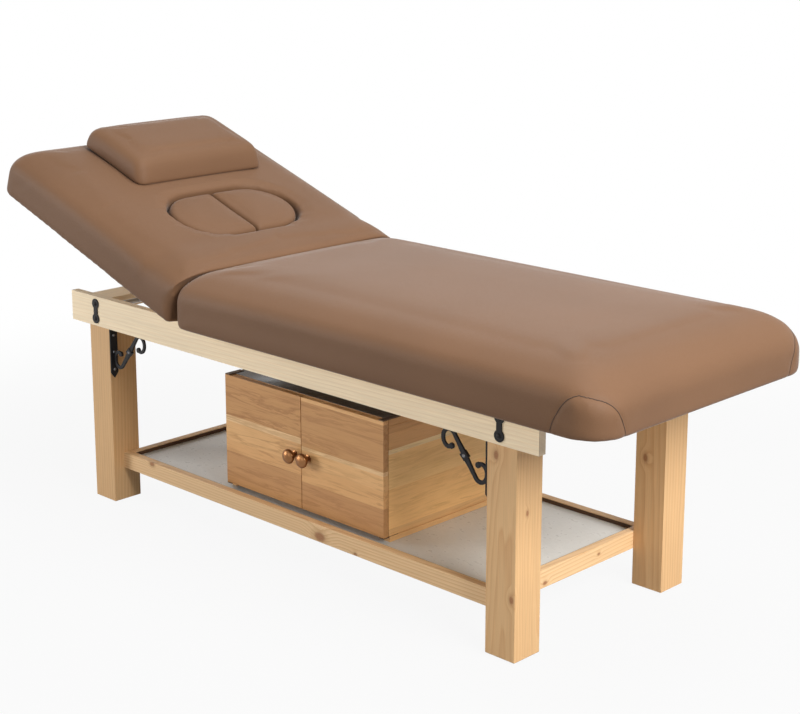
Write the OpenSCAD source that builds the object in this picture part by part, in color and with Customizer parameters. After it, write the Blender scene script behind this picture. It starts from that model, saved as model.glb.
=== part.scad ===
// Spa and massage bed: a timber frame, a padded top whose head section tilts up on a prop,
// a face hole closed by two plugs, a loose pillow, and a shelf that carries a two-door cabinet.
// +X is the foot end, -Y the side with the cabinet doors, +Z is up, and Z = 0 is the floor.

/* [Timber frame] */
// Length over the outer faces of the legs
leg_span_x = 1388; // [1200:2:1600]
// Width over the outer faces of the legs
leg_span_y = 566; // [520:2:640]
// Side of a square leg
leg_side = 78; // [64:1:90]
// Height of the top edge of the side rails
rail_top = 525; // [500:5:620]
// Height of a side rail
rail_h = 74; // [60:1:90]
// Thickness of a side rail
rail_t = 20; // [16:1:26]
// How far a side rail stands proud of the leg
rail_proud = 8.5; // [4:0.5:12]
// How far a side rail runs past the leg
rail_over = 60; // [30:1:90]
// Thickness of the crossbars that lie on the legs
cross_t = 30; // [20:1:36]
// Thickness of the bearer that carries the hinges
bearer_t = 40; // [30:1:50]
// Width of a slat under the main cushion
slat_w = 60; // [40:1:90]
// Thickness of a slat
slat_t = 25; // [18:1:30]
// Diameter of a foot glide
glide_d = 44; // [30:1:60]
// Thickness of a foot glide
glide_t = 3; // [2:0.5:5]

/* [Shelf] */
// Height of the underside of the shelf rails
shelf_low = 85; // [60:1:140]
// Height of a shelf rail
shelf_rail_h = 40; // [34:1:60]
// Thickness of a shelf rail
shelf_rail_t = 20; // [16:1:26]
// Setback of the long shelf rails from the outer faces of the legs
shelf_set = 30.5; // [20:0.5:36]
// Depth of the board's top face below the top of the shelf rails
board_drop = 10; // [4:1:14]
// Thickness of the shelf board
board_t = 9; // [6:1:12]
// Side of the square cleats under the board
cleat = 15; // [12:1:18]
// Length of a rail's tenon in the leg
tenon_len = 24; // [16:1:34]
// Thickness of a tenon
tenon_t = 10; // [8:1:12]
// Shoulder above and below a tenon
tenon_shoulder = 8; // [5:1:10]

/* [Cabinet] */
// Width of the cabinet
cab_w = 522; // [440:2:700]
// Distance of the cabinet's front and back from the inner faces of the long shelf rails
cab_clear = 18.5; // [8:0.5:60]
// Height of the cabinet
cab_h = 279; // [240:1:300]
// Thickness of the cabinet's panels
panel_t = 15; // [12:1:18]
// Thickness of the cabinet's back
back_t = 6; // [4:1:9]
// Height of the base strip under the cabinet
plinth_h = 12; // [12:1:24]
// How far the base strip stands proud of the sides
plinth_proud = 3; // [1:0.5:5]
// Thickness of a door
door_t = 15; // [14:0.5:18]
// Gap between a closed door and the front edges of the panels
door_gap = 1.5; // [1.5:0.1:3]
// Gap between the two doors
door_split = 2; // [1.5:0.1:4]
// Distance of a door's pivot from its outer edge
pivot_edge = 4.5; // [3.5:0.1:5]
// Distance of a door's pivot from its back face
pivot_back = 9; // [9:0.1:10]
// Radius of a door's pivot pin
pivot_r = 2.5; // [2:0.1:3]
// Thickness of a pivot plate
plate_t = 2; // [1.5:0.1:3]
// Length of a pivot plate, front to back
plate_len = 46; // [36:1:60]
// Diameter of a knob
knob_d = 34; // [26:1:40]
// Projection of a knob from the door
knob_out = 30; // [24:1:36]
// Distance of a knob's centre from the middle of the cabinet
knob_x = 22; // [20:1:40]

/* [Ironwork] */
// Width of a bracket's strap
strap_w = 21; // [16:1:26]
// Length of a bracket's strap
strap_len = 115; // [100:1:140]
// Thickness of a bracket's strap
strap_t = 4; // [3:0.5:6]
// Width of a bracket's scroll bar across the bed
scroll_w = 12; // [8:1:16]
// Thickness of the scroll bar in its curls
scroll_t = 8.5; // [6:0.5:10]
// Radius of the outer turn of a curl, to the middle of the bar
curl_r = 17; // [15:0.5:19]
// Height of a rail plate
bone_h = 62; // [50:1:70]
// Width of a rail plate across its lobes
bone_w = 25; // [20:1:30]
// Width of a rail plate at its waist
bone_waist = 14; // [10:1:18]
// Thickness of a rail plate
bone_t = 2.5; // [2:0.5:4]
// Radius of a bolt's shank
bolt_r = 3; // [2:0.5:4]
// Length of a bolt under its head
bolt_len = 55; // [45:1:65]

/* [Main cushion] */
// Position of the cushion's head end
main_x0 = -273; // [-330:1:-240]
// Position of the cushion's foot end
main_x1 = 944; // [800:1:1000]
// Width of both cushions
bed_w = 720; // [660:5:760]
// Thickness of both cushions at their crown
pad_t = 134; // [100:1:145]
// Rise of the crown above the rounded edge
crown = 7; // [3:0.5:12]
// Radius of the rounded top edge
edge_r = 40; // [30:1:50]
// Radius of the foot corners, seen from above
foot_r = 72; // [60:1:110]
// Radius of the other corners, seen from above
corner_r = 34; // [24:1:50]
// How far the sides pull in between the corners
draw_in = 4; // [2:0.5:10]
// Thickness of the base boards
base_t = 12; // [9:1:18]
// Setback of a base board from the cushion's outline
base_set = 20; // [15:1:30]

/* [Head section] */
// Length of the head section
head_len = 712; // [640:5:760]
// Tilt of the head section as drawn
tilt = 19.1; // [5:0.1:30]
// Slope of the head cushion's hinge end
mitre = 33; // [25:1:40]
// Gap between the hinge axis and the cushion at its underside
head_gap = 10; // [8:0.5:16]
// Depth of the hinge axis below the head board
pivot_drop = 9; // [8.5:0.1:12]
// Distance of the hinge axis from the main cushion
pivot_set = 4; // [3:0.5:8]
// Distance of the face hole's centre from the hinge
hole_u = 250.5; // [220:1:300]
// Length of the face hole across the bed
hole_y = 334; // [280:2:380]
// Width of the face hole along the bed
hole_x = 193; // [160:1:210]
// Gap between a plug and the hole
plug_gap = 5; // [3:0.5:8]
// Width of the ledge that holds the plugs
ledge = 15; // [10:1:20]
// Length of the pillow along the bed
pillow_x = 252; // [220:1:270]
// Length of the pillow across the bed
pillow_y = 412; // [300:2:450]
// Thickness of the pillow
pillow_t = 62; // [45:1:80]
// Distance of the pillow's foot side from the hinge
pillow_u = 403; // [380:5:420]
// Offset of the pillow's middle from the middle of the bed
pillow_off = 22; // [0:5:40]

/* [Hinges and prop] */
// Length of a hinge along its pin
hinge_w = 70; // [50:1:100]
// Radius of a hinge's knuckle
knuckle_r = 7; // [6:0.1:8]
// Radius of a hinge's pin
pin_r = 3; // [2:0.1:4]
// Thickness of a hinge's leaf
leaf_t = 2.5; // [2:0.1:3]
// Length of a hinge's leaf
leaf_len = 45; // [30:1:60]
// Distance from the hinge axis to the prop's pivot, and length of the prop
prop_a = 160; // [140:1:162]
// Radius of the prop's rods
rod_r = 6; // [5:0.1:6]
// Distance between the prop's arms
arm_apart = 362; // [300:2:440]
// Thickness of a prop arm
arm_t = 6; // [4:0.5:8]
// Radius of a prop arm's round end
arm_r = 8.5; // [8:0.1:8.5]
// Thickness of a rack
rack_t = 6; // [4:0.5:10]
// Height of a rack
rack_h = 34; // [24:1:44]
// Distance between the notches of a rack
rack_pitch = 17; // [14:1:20]

/* [Hidden] */
$fn = 48;

// Overrun of every cut, and the clearances
eps = 1;
fit = 0.05;
soft_gap = 0.4;
lid_gap = 0.5;

// Timber frame
leg_x = (leg_span_x - leg_side) / 2;
leg_y = (leg_span_y - leg_side) / 2;
leg_in_x = leg_span_x / 2 - leg_side;
rail_low = rail_top - rail_h;
rail_out = leg_span_y / 2 + rail_proud;
rail_in = rail_out - rail_t;
leg_top = rail_top - cross_t;
slat_mid_share = 0.28;
slat_foot_share = 0.6;

// Shelf
shelf_out = leg_span_y / 2 - shelf_set;
shelf_in = shelf_out - shelf_rail_t;
shelf_top = shelf_low + shelf_rail_h;
board_top = shelf_top - board_drop;
board_low = board_top - board_t;
shelf_in_x = leg_in_x - shelf_rail_t;

// Cabinet
cab_front = -shelf_in + cab_clear;
cab_back = shelf_in - cab_clear;
cab_top = board_top + cab_h;
carcass_front = cab_front + door_t + door_gap;
carcass_low = board_top + plinth_h;
carcass_top = cab_top - plate_t;
side_top = carcass_top - panel_t;
door_back = cab_front + door_t;
door_low = carcass_low + lid_gap;
door_high = carcass_top - lid_gap;
door_pivot_x = cab_w / 2 - pivot_edge;
door_pivot_y = door_back - pivot_back;
pivot_len = 11;
pivot_slack = 0.5;
knob_z_share = 0.47;
knob_z = door_low + (door_high - door_low) * knob_z_share;
knob_stud_r = 2.5;
knob_stud_len = 11;
knob_neck_share = 0.36;
knob_rose_share = 0.56;
knob_rose_t = 3;
knob_ball_start_share = 0.3;
knob_steps = 12;
plinth_setback = 30;
plinth_t = 18;
catch_w = 36;
catch_d = 14;
catch_h = 12;
catch_x = 8;
catch_plate_t = 1.1;

// Ironwork
strap_tip = 14;
scroll_mid = [42, 24];
scroll_sweep = 325;
curl_in_r = 6;
curl_tip_share = 0.8;
diamond_half = 8.5;
diamond_len = 11;
curl_steps = 26;
bone_lobe_y = (bone_h - bone_w) / 2;
bone_z = rail_top - rail_h / 2;
bolt_head_r = 6;
bolt_head_t = 3;

// Cushions. A share of a wall's rounding or of the way from its edge to the crown sets each level.
main_low = rail_top;
main_high = main_low + pad_t;
edge_steps = 5;
arc_steps = 6;
side_steps = 5;
low_r_share = 0.15;
low_bend_share = 0.33;
least_r_share = 0.33;
foot_taper_share = 0.2;
head_end_share = 1.45;
mitre_share = 0.5;
crown_shares = [0.22, 0.5, 0.78, 0.94];
crown_reach_share = 0.98;
head_corner_r = 34;
pillow_r = 28;
pillow_edge = 22;
pillow_slope_share = 0.36;
pillow_low_shares = [[0.25, 0], [0.08, 0.2], [0, 0.6]];
pillow_crown_shares = [[0.14, 0.87], [0.25, 1]];
plug_edge = 12;
plug_edge_steps = 3;
plug_arc_steps = 16;
plug_dome_share = 0.75;
plug_high = pad_t + soft_gap;

// Head section, hinge and prop. On the head, x = 0 is the hinge axis, x falls towards the head
// end, and z = 0 is the underside of the head board.
pivot_x = main_x0 - pivot_set;
pivot_z = rail_top + lid_gap - pivot_drop;
bearer_x = pivot_x + knuckle_r;
knuckle_gap = 0.5;
knuckle_count = 3;
knuckle_len = hinge_w / knuckle_count;
leaf_start = knuckle_r + eps;
hinge_y_share = 0.65;
hinge_places = [-rail_in * hinge_y_share, 0, rail_in * hinge_y_share];
lug_w = 16;
lug_x = 18;
lug_wall = 2;
lug_y = arm_apart / 2 - arm_t - lug_w;
foot_x = pivot_x - 2 * prop_a * cos(tilt);
rack_gap = 0.4;
rack_high = pivot_z - rod_r - rack_gap;
rack_x0 = pivot_x - 2 * prop_a - rod_r;
rack_notches = 5;
notch_depth = 5;
notch_w = 11;
least_r = corner_r * least_r_share;
head_low_x = pivot_x - head_len * cos(tilt) + (pivot_drop + edge_r * low_r_share) * sin(tilt);
centre_x = (main_x1 + head_low_x) / 2;
plug_half_x = hole_x / 2 - plug_gap;
plug_half_y = hole_y / 2 - plug_gap;
plug_split = 1;

iron = [0.10, 0.10, 0.11];
steel = [0.62, 0.63, 0.65];
hide = [0.60, 0.48, 0.40];
pine = [0.88, 0.78, 0.62];
golden = [0.84, 0.68, 0.48];
oak = [0.70, 0.50, 0.32];
copper = [0.62, 0.38, 0.24];

// A block from one corner to the opposite one
module block(low, high) {
    translate(low) cube(high - low);
}

// A rod along Y with its middle at the given place
module rod_y(r, len) {
    rotate([90, 0, 0]) cylinder(r = r, h = len, center = true);
}

// Brings the middle of the bed's whole length to X = 0
module centred() {
    translate([-centre_x, 0, 0]) children();
}

// Puts what is drawn flat on the head section at its tilt
module on_head() {
    translate([pivot_x, 0, pivot_z]) rotate([0, tilt, 0]) translate([0, 0, pivot_drop]) children();
}

// Points of one quarter of a rounded corner
function corner(c, r, start) =
    [for (i = [0:arc_steps]) c + r * [cos(start + 90 * i / arc_steps), sin(start + 90 * i / arc_steps)]];

// Points between two corners, drawn in towards the middle of the cushion
function side(p, q, pull) =
    let (d = q - p, n = [-d[1], d[0]] / norm(d))
    [for (i = [1:side_steps]) let (t = i / (side_steps + 1)) p + d * t + n * pull * 4 * t * (1 - t)];

// One level of a cushion: a rectangle from low to high with round corners, r0 at the low x end
// and r1 at the high x end
function level(low, high, r0, r1, z, pull) =
    let (a = corner([high[0] - r1, high[1] - r1], r1, 0),
         b = corner([low[0] + r0, high[1] - r0], r0, 90),
         c = corner([low[0] + r0, low[1] + r0], r0, 180),
         d = corner([high[0] - r1, low[1] + r1], r1, 270),
         flat = concat(a, side(a[arc_steps], b[0], pull), b, side(b[arc_steps], c[0], pull),
             c, side(c[arc_steps], d[0], pull), d, side(d[arc_steps], a[0], pull)))
    [for (p = flat) [p[0], p[1], z]];

// Closed skin over levels of equal point counts, from the lowest to the highest
module skin(levels, low_mid, high_mid) {
    n = len(levels[0]);
    last = len(levels) - 1;
    points = concat([for (l = levels) each l], [low_mid, high_mid]);
    base = len(points) - 2;
    walls = [for (i = [0:last - 1], j = [0:n - 1])
        let (k = (j + 1) % n, a = i * n + j, b = i * n + k, c = a + n, d = b + n)
        each [[a, c, d], [a, d, b]]];
    bottom = [for (j = [0:n - 1]) [base, j, (j + 1) % n]];
    top = [for (j = [0:n - 1]) [base + 1, last * n + (j + 1) % n, last * n + j]];
    polyhedron(points = points, faces = concat(walls, bottom, top), convexity = 6);
}

// Inset and height of a cushion's wall from its underside, over its rounded edge, to its crown
function wall_profile(t, half) =
    let (r = edge_r, shoulder = t - crown - r, low_r = r * low_r_share)
    concat([[low_r, 0], low_r * low_bend_share * [1, 1], [0, low_r]],
        [[0, shoulder]],
        [for (i = [1:edge_steps]) let (a = 90 * i / edge_steps) [r * (1 - cos(a)), shoulder + r * sin(a)]],
        [for (s = crown_shares) [r + (half - r) * s, t - crown + crown * (1 - (1 - s) * (1 - s))]]);

// How far a side is drawn in at a height: most in the middle of the wall, none on top
function pull_at(z, t) = draw_in * max(0, 1 - pow(2 * z / (t - crown) - 1, 2));

// The main cushion as one skin
module main_form() {
    half = bed_w / 2;
    profile = wall_profile(pad_t, half * crown_reach_share);
    levels = [for (p = profile) let (s = p[0])
        level([main_x0 + s * head_end_share, -half + s], [main_x1 - s, half - s],
            max(corner_r - s, least_r), max(foot_r - s * foot_taper_share, least_r), main_low + p[1],
            pull_at(p[1], pad_t))];
    mid = (main_x0 + main_x1) / 2;
    skin(levels, [mid, 0, main_low], [mid, 0, main_high]);
}

// The head cushion as one skin, flat on its board, with its hinge end cut to the mitre
module head_form() {
    half = bed_w / 2;
    profile = wall_profile(pad_t, half * crown_reach_share);
    levels = [for (p = profile) let (s = p[0])
        level([-head_len + s, -half + s], [-head_gap - p[1] * tan(mitre) - s * mitre_share, half - s],
            max(head_corner_r - s, least_r), max(corner_r - s, least_r), p[1],
            pull_at(p[1], pad_t))];
    mid = -(head_len + head_gap) / 2;
    skin(levels, [mid, 0, 0], [mid, 0, pad_t]);
}

// Plan of a base board from low x to high x: square corners at one end, round ones at the other
module board_plan(x_square, x_round, half, r) {
    way = sign(x_round - x_square);
    translate([min(x_square, x_round - way * r), -half]) square([abs(x_round - x_square) - r, 2 * half]);
    translate([min(x_round, x_round - way * r), -half + r]) square([r, 2 * (half - r)]);
    for (s = [-1, 1]) translate([x_round - way * r, s * (half - r)]) circle(r = r);
}

// Plan of a slot with round ends, centred on the face hole
module hole_plan(shrink) {
    r = hole_x / 2 - shrink;
    straight = (hole_y - hole_x) / 2;
    translate([-hole_u, 0]) {
        translate([-r, -straight]) square([2 * r, 2 * straight]);
        for (s = [-1, 1]) translate([0, s * straight]) circle(r = r);
    }
}

// A leg at one corner, rebated for the side rail and mortised for the shelf rail
module leg(sx, sy) {
    color(golden) difference() {
        translate([sx * leg_x, sy * leg_y, (glide_t + leg_top) / 2])
            cube([leg_side, leg_side, leg_top - glide_t], center = true);
        translate([sx * leg_x, sy * (rail_in + rail_t / 2), (rail_low + leg_top + eps) / 2])
            cube([leg_side + 2 * eps, rail_t, leg_top + eps - rail_low], center = true);
        shelf_tenon(sx, sy);
        for (s = [-1, 1]) bolt_at(sx, sy, s, fit);
    }
}

// Round glides under the four legs
module foot_glides() {
    color(iron) for (sx = [-1, 1], sy = [-1, 1])
        translate([sx * leg_x, sy * leg_y, 0]) cylinder(d = glide_d, h = glide_t);
}

// A side rail, drilled for the bolts of its two plates
module side_rail(sy) {
    half = leg_span_x / 2 + rail_over;
    color(pine) difference() {
        translate([0, sy * (rail_in + rail_t / 2), rail_top - rail_h / 2])
            cube([2 * half, rail_t, rail_h], center = true);
        for (sx = [-1, 1], s = [-1, 1]) bolt_at(sx, sy, s, fit);
    }
}

// A crossbar that lies on two legs between the side rails, drilled for the upper bolts
module crossbar(sx) {
    color(pine) difference() {
        translate([sx * leg_x, 0, rail_top - cross_t / 2])
            cube([leg_side, 2 * rail_in, cross_t], center = true);
        for (sy = [-1, 1]) bolt_at(sx, sy, 1, fit);
    }
}

// The bearer across the frame that carries the hinges
module hinge_bearer() {
    color(pine) block([bearer_x, -rail_in, rail_low], [bearer_x + bearer_t, rail_in, rail_top]);
}

// A slat across the frame under the main cushion
module slat(share) {
    x = bearer_x + (leg_in_x - bearer_x) * share;
    color(pine) translate([x, 0, rail_top - slat_t / 2]) cube([slat_w, 2 * rail_in, slat_t], center = true);
}

// The tenon of a long shelf rail in one leg
module shelf_tenon(sx, sy) {
    translate([sx * (leg_in_x + tenon_len / 2), sy * (shelf_in + shelf_out) / 2, shelf_low + shelf_rail_h / 2])
        cube([tenon_len, tenon_t, shelf_rail_h - 2 * tenon_shoulder], center = true);
}

// A long shelf rail with its two tenons
module shelf_rail_long(sy) {
    color(pine) {
        translate([0, sy * (shelf_in + shelf_out) / 2, shelf_low + shelf_rail_h / 2])
            cube([2 * leg_in_x, shelf_rail_t, shelf_rail_h], center = true);
        for (sx = [-1, 1]) shelf_tenon(sx, sy);
    }
}

// A shelf rail across one end
module shelf_rail_end(sx) {
    color(pine) translate([sx * (leg_in_x - shelf_rail_t / 2), 0, shelf_low + shelf_rail_h / 2])
        cube([shelf_rail_t, 2 * shelf_in, shelf_rail_h], center = true);
}

// The shelf board between the four shelf rails
module shelf_board() {
    color([0.80, 0.80, 0.78]) block([-shelf_in_x, -shelf_in, board_low], [shelf_in_x, shelf_in, board_top]);
}

// Two cleats along the long shelf rails that carry the board
module shelf_cleats() {
    color(pine) for (sy = [-1, 1])
        translate([0, sy * (shelf_in - cleat / 2), board_low - cleat / 2])
            cube([2 * shelf_in_x, cleat, cleat], center = true);
}

// One side panel of the cabinet
module cabinet_side(sx) {
    x = sx * (cab_w - panel_t) / 2;
    color(oak) translate([x, (carcass_front + cab_back) / 2, (carcass_low + side_top) / 2])
        cube([panel_t, cab_back - carcass_front, side_top - carcass_low], center = true);
}

// The top panel of the cabinet, over the sides
module cabinet_top() {
    color(oak) block([-cab_w / 2, carcass_front, side_top], [cab_w / 2, cab_back, carcass_top]);
}

// The bottom panel of the cabinet, between the sides
module cabinet_bottom() {
    half = cab_w / 2 - panel_t;
    color(oak) block([-half, carcass_front, carcass_low], [half, cab_back - back_t, carcass_low + panel_t]);
}

// The back panel of the cabinet, between the sides
module cabinet_back() {
    half = cab_w / 2 - panel_t;
    color(oak) block([-half, cab_back - back_t, carcass_low], [half, cab_back, side_top]);
}

// Four base strips under the cabinet, the side ones let in for the lower pivot plates
module cabinet_plinth() {
    half = cab_w / 2 + plinth_proud;
    inner = half - plinth_t;
    front = carcass_front + plinth_setback;
    color(golden) {
        for (sx = [-1, 1]) difference() {
            translate([sx * (half + inner) / 2, (carcass_front + cab_back) / 2, (board_top + carcass_low) / 2])
                cube([plinth_t, cab_back - carcass_front, plinth_h], center = true);
            pivot_plate(sx, carcass_low - plate_t);
        }
        for (y = [front, cab_back - plinth_t])
            block([-inner + fit, y, board_top], [inner - fit, y + plinth_t, carcass_low]);
    }
}

// The flat plate of a door pivot, with its underside at z
module pivot_plate(sx, z) {
    translate([sx * (cab_w - panel_t) / 2, cab_front + plate_len / 2, z + plate_t / 2])
        cube([panel_t, plate_len, plate_t], center = true);
}

// Four plates with their pins, above and below each door
module door_pivots() {
    color(steel) for (sx = [-1, 1]) {
        pivot_plate(sx, carcass_top);
        pivot_plate(sx, carcass_low - plate_t);
        translate([sx * door_pivot_x, door_pivot_y, door_high + lid_gap - pivot_len])
            cylinder(r = pivot_r, h = pivot_len + plate_t / 2);
        translate([sx * door_pivot_x, door_pivot_y, carcass_low - plate_t / 2])
            cylinder(r = pivot_r, h = pivot_len + plate_t / 2);
    }
}

// Two magnetic catches under the top panel
module door_catches() {
    color(iron) for (sx = [-1, 1])
        translate([sx * (catch_x + catch_w / 2), carcass_front + catch_d / 2, side_top - catch_h / 2])
            cube([catch_w, catch_d, catch_h], center = true);
}

// The steel plate on a door that its catch holds
module catch_plate(sx) {
    color(steel) translate([sx * (catch_x + catch_w / 2), door_back + catch_plate_t / 2, side_top - catch_h / 2])
        cube([catch_w, catch_plate_t, catch_h], center = true);
}

// A door, drilled for its two pivot pins and for the knob's stud
module door(sx) {
    inner = door_split / 2;
    hole_len = pivot_len + pivot_slack;
    color(oak) difference() {
        translate([sx * (cab_w / 2 + inner) / 2, (cab_front + door_back) / 2, (door_low + door_high) / 2])
            cube([cab_w / 2 - inner, door_t, door_high - door_low], center = true);
        translate([sx * door_pivot_x, door_pivot_y, door_low - eps])
            cylinder(r = pivot_r + fit, h = hole_len + eps);
        translate([sx * door_pivot_x, door_pivot_y, door_high - hole_len])
            cylinder(r = pivot_r + fit, h = hole_len + eps);
        translate([sx * knob_x, cab_front, knob_z]) rotate([-90, 0, 0])
            translate([0, 0, -eps]) cylinder(r = knob_stud_r + fit, h = knob_stud_len + pivot_slack + eps);
    }
}

// A turned knob with its stud
module knob(sx) {
    r = knob_d / 2;
    start = knob_out * knob_ball_start_share;
    half = (knob_out - start) / 2;
    neck = r * knob_neck_share;
    rose = r * knob_rose_share;
    turn = asin(neck / r);
    ball = [for (i = [0:knob_steps]) let (a = turn + (180 - turn) * i / knob_steps)
        [r * sin(a), start + half - half * cos(a)]];
    color(copper) translate([sx * knob_x, cab_front, knob_z]) rotate([90, 0, 0]) {
        rotate_extrude() polygon(concat([[0, 0], [rose, 0], [rose, knob_rose_t / 2], [neck, knob_rose_t]],
            [for (p = ball) [max(p[0], 0), p[1]]]));
        translate([0, 0, -knob_stud_len]) cylinder(r = knob_stud_r, h = knob_stud_len + knob_rose_t / 2);
    }
}

// Middle line of half a scroll from its middle, with half the bar's thickness at each point
function half_scroll() =
    let (c = scroll_mid, dist = norm(c), reach = sqrt(dist * dist - curl_r * curl_r),
         lean = atan2(c[1], c[0]) + asin(curl_r / dist),
         way = [cos(lean), sin(lean)], start = reach * way,
         first = atan2(start[1] - c[1], start[0] - c[0]), thick = scroll_t / 2)
    concat([[0, 0, diamond_half], [diamond_len * way[0], diamond_len * way[1], thick]],
        [for (i = [0:curl_steps]) let (t = i / curl_steps, a = first - scroll_sweep * t,
             r = curl_r + (curl_in_r - curl_r) * t)
            [c[0] + r * cos(a), c[1] + r * sin(a), thick * (1 - (1 - curl_tip_share) * t)]]);

// The same line run from one curl's tip to the other's, turned half round about the middle
function scroll_line() =
    let (h = half_scroll(), n = len(h))
    concat([for (i = [n - 1:-1:1]) [-h[i][0], -h[i][1], h[i][2]]], h);

// Points at one side of the line, at half the bar's thickness
function scroll_side(line, s) =
    let (n = len(line))
    [for (i = [0:n - 1]) let (p = line[max(i - 1, 0)], q = line[min(i + 1, n - 1)],
         d = [q[0] - p[0], q[1] - p[1]], m = [-d[1], d[0]] / norm(d))
        [line[i][0], line[i][1]] + s * line[i][2] * m];

// A bracket: a strap down the leg, and a scroll that braces the rail
module scroll_bracket(sx, sy) {
    line = scroll_line();
    left = scroll_side(line, 1);
    right = scroll_side(line, -1);
    outline = concat(left, [for (i = [len(right) - 1:-1:0]) right[i]]);
    reach_x = -min([for (p = outline) p[0]]) + strap_t - fit;
    reach_z = max([for (p = outline) p[1]]);
    strap_mid = leg_span_y / 2 - strap_w / 2;
    half = strap_w / 2;
    color(iron) scale([-sx, sy, 1]) translate([-leg_in_x, strap_mid, rail_low]) {
        rotate([90, 0, 90]) linear_extrude(strap_t)
            polygon([[-half, 0], [half, 0], [half, strap_tip - strap_len], [0, -strap_len],
                [-half, strap_tip - strap_len]]);
        translate([reach_x, scroll_w / 2, -reach_z]) rotate([90, 0, 0]) linear_extrude(scroll_w)
            polygon(outline);
    }
}

// Two lobes and a waist, flat on the outer face of a side rail over each leg
module rail_plates() {
    lobe = bone_w / 2;
    color(iron) for (sx = [-1, 1], sy = [-1, 1])
        translate([sx * leg_x, sy * (rail_out + bone_t / 2), bone_z]) rotate([90, 0, 0])
            difference() {
                linear_extrude(bone_t, center = true) {
                    square([bone_waist, 2 * bone_lobe_y], center = true);
                    for (s = [-1, 1]) translate([0, s * bone_lobe_y]) circle(r = lobe);
                }
                for (s = [-1, 1]) translate([0, s * bone_lobe_y, 0])
                    cylinder(r = bolt_r + fit, h = bone_t + 2 * eps, center = true);
            }
}

// The shank of one bolt through a plate and a rail into a leg, wider by a clearance
module bolt_at(sx, sy, s, clear) {
    translate([sx * leg_x, sy * (rail_out + bone_t), bone_z + s * bone_lobe_y])
        rotate([sy * 90, 0, 0]) translate([0, 0, -eps])
            cylinder(r = bolt_r + clear, h = bolt_len + (clear > 0 ? 2 : 1) * eps);
}

// The bolts of the four rail plates
module rail_bolts() {
    color(iron) for (sx = [-1, 1], sy = [-1, 1], s = [-1, 1]) {
        bolt_at(sx, sy, s, 0);
        translate([sx * leg_x, sy * (rail_out + bone_t), bone_z + s * bone_lobe_y])
            rotate([sy * -90, 0, 0]) cylinder(r1 = bolt_head_r, r2 = bolt_head_r / 2, h = bolt_head_t);
    }
}

// Base board of the main cushion
module main_base(clear) {
    translate([0, 0, main_low - clear]) linear_extrude(base_t + clear)
        board_plan(main_x0 + base_set, main_x1 - base_set, bed_w / 2 - base_set, foot_r - base_set);
}

module main_board() {
    color(pine) main_base(0);
}

// The main cushion, hollowed underneath for its board
module main_cushion() {
    color(hide) difference() {
        main_form();
        main_base(eps);
    }
}

// Base board of the head section, drawn flat, without its hole
module head_base(clear) {
    translate([0, 0, -clear]) linear_extrude(base_t + clear)
        board_plan(-head_gap - base_set, -head_len + base_set, bed_w / 2 - base_set, head_corner_r - base_set);
}

// The head board with its hole, whose ledge carries the plugs
module head_board() {
    color(pine) on_head() difference() {
        head_base(0);
        translate([0, 0, -eps]) linear_extrude(base_t + 2 * eps) hole_plan(ledge);
    }
}

// The head cushion with its face hole, hollowed underneath for its board
module head_cushion() {
    color(hide) on_head() difference() {
        head_form();
        head_base(eps);
        linear_extrude(pad_t + eps) hole_plan(0);
    }
}

// One of the two plugs that close the face hole, with a rounded and crowned top
module plug(sy) {
    r = plug_half_x;
    straight = plug_half_y - r;
    mid = [0, plug_half_y / 2];
    arc = [for (i = [0:plug_arc_steps]) let (a = 180 * i / plug_arc_steps)
        [r * cos(a), straight + r * sin(a)]];
    flat = concat([[0, plug_split], [r / 2, plug_split], [r, plug_split], [r, straight / 2]], arc,
        [[-r, straight / 2], [-r, plug_split], [-r / 2, plug_split]]);
    low = base_t + soft_gap;
    shoulder = plug_high - crown - plug_edge;
    bend = plug_edge * low_bend_share;
    profile = concat([[bend, low], [0, low + bend], [0, shoulder]],
        [for (i = [1:plug_edge_steps]) let (a = 90 * i / plug_edge_steps)
            [plug_edge * (1 - cos(a)), shoulder + plug_edge * sin(a)]],
        [[r / 2, plug_high - crown * (1 - plug_dome_share)]]);
    levels = [for (p = profile) [for (q = flat)
        let (d = mid - q, in = q + d * p[0] / max(norm(d), r / 2)) [in[0], in[1], p[1]]]];
    color(hide) on_head() translate([-hole_u, 0, 0]) scale([1, sy, 1])
        skin(levels, [mid[0], mid[1], low], [mid[0], mid[1], plug_high]);
}

// The loose pillow, whose foot side slopes back
module pillow() {
    low = pad_t + soft_gap;
    t = pillow_t;
    e = pillow_edge;
    rise = crown / 2;
    shoulder = t - e - rise;
    profile = concat([for (s = pillow_low_shares) e * s], [[0, shoulder]],
        [for (i = [1:plug_edge_steps]) let (a = 90 * i / plug_edge_steps)
            [e * (1 - cos(a)), shoulder + e * sin(a)]],
        [for (s = pillow_crown_shares) [e + pillow_x * s[0], t - rise * (1 - s[1])]]);
    levels = [for (p = profile) let (s = p[0], back = p[1] * pillow_slope_share)
        level([-pillow_u - pillow_x + s, pillow_off - pillow_y / 2 + s],
            [-pillow_u - back - s, pillow_off + pillow_y / 2 - s],
            max(pillow_r - s, pillow_r * least_r_share), max(pillow_r - s, pillow_r * least_r_share),
            low + p[1], draw_in / 2)];
    mid = -pillow_u - pillow_x / 2;
    color(hide) on_head() skin(levels, [mid, pillow_off, low], [mid, pillow_off, low + t]);
}

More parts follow.
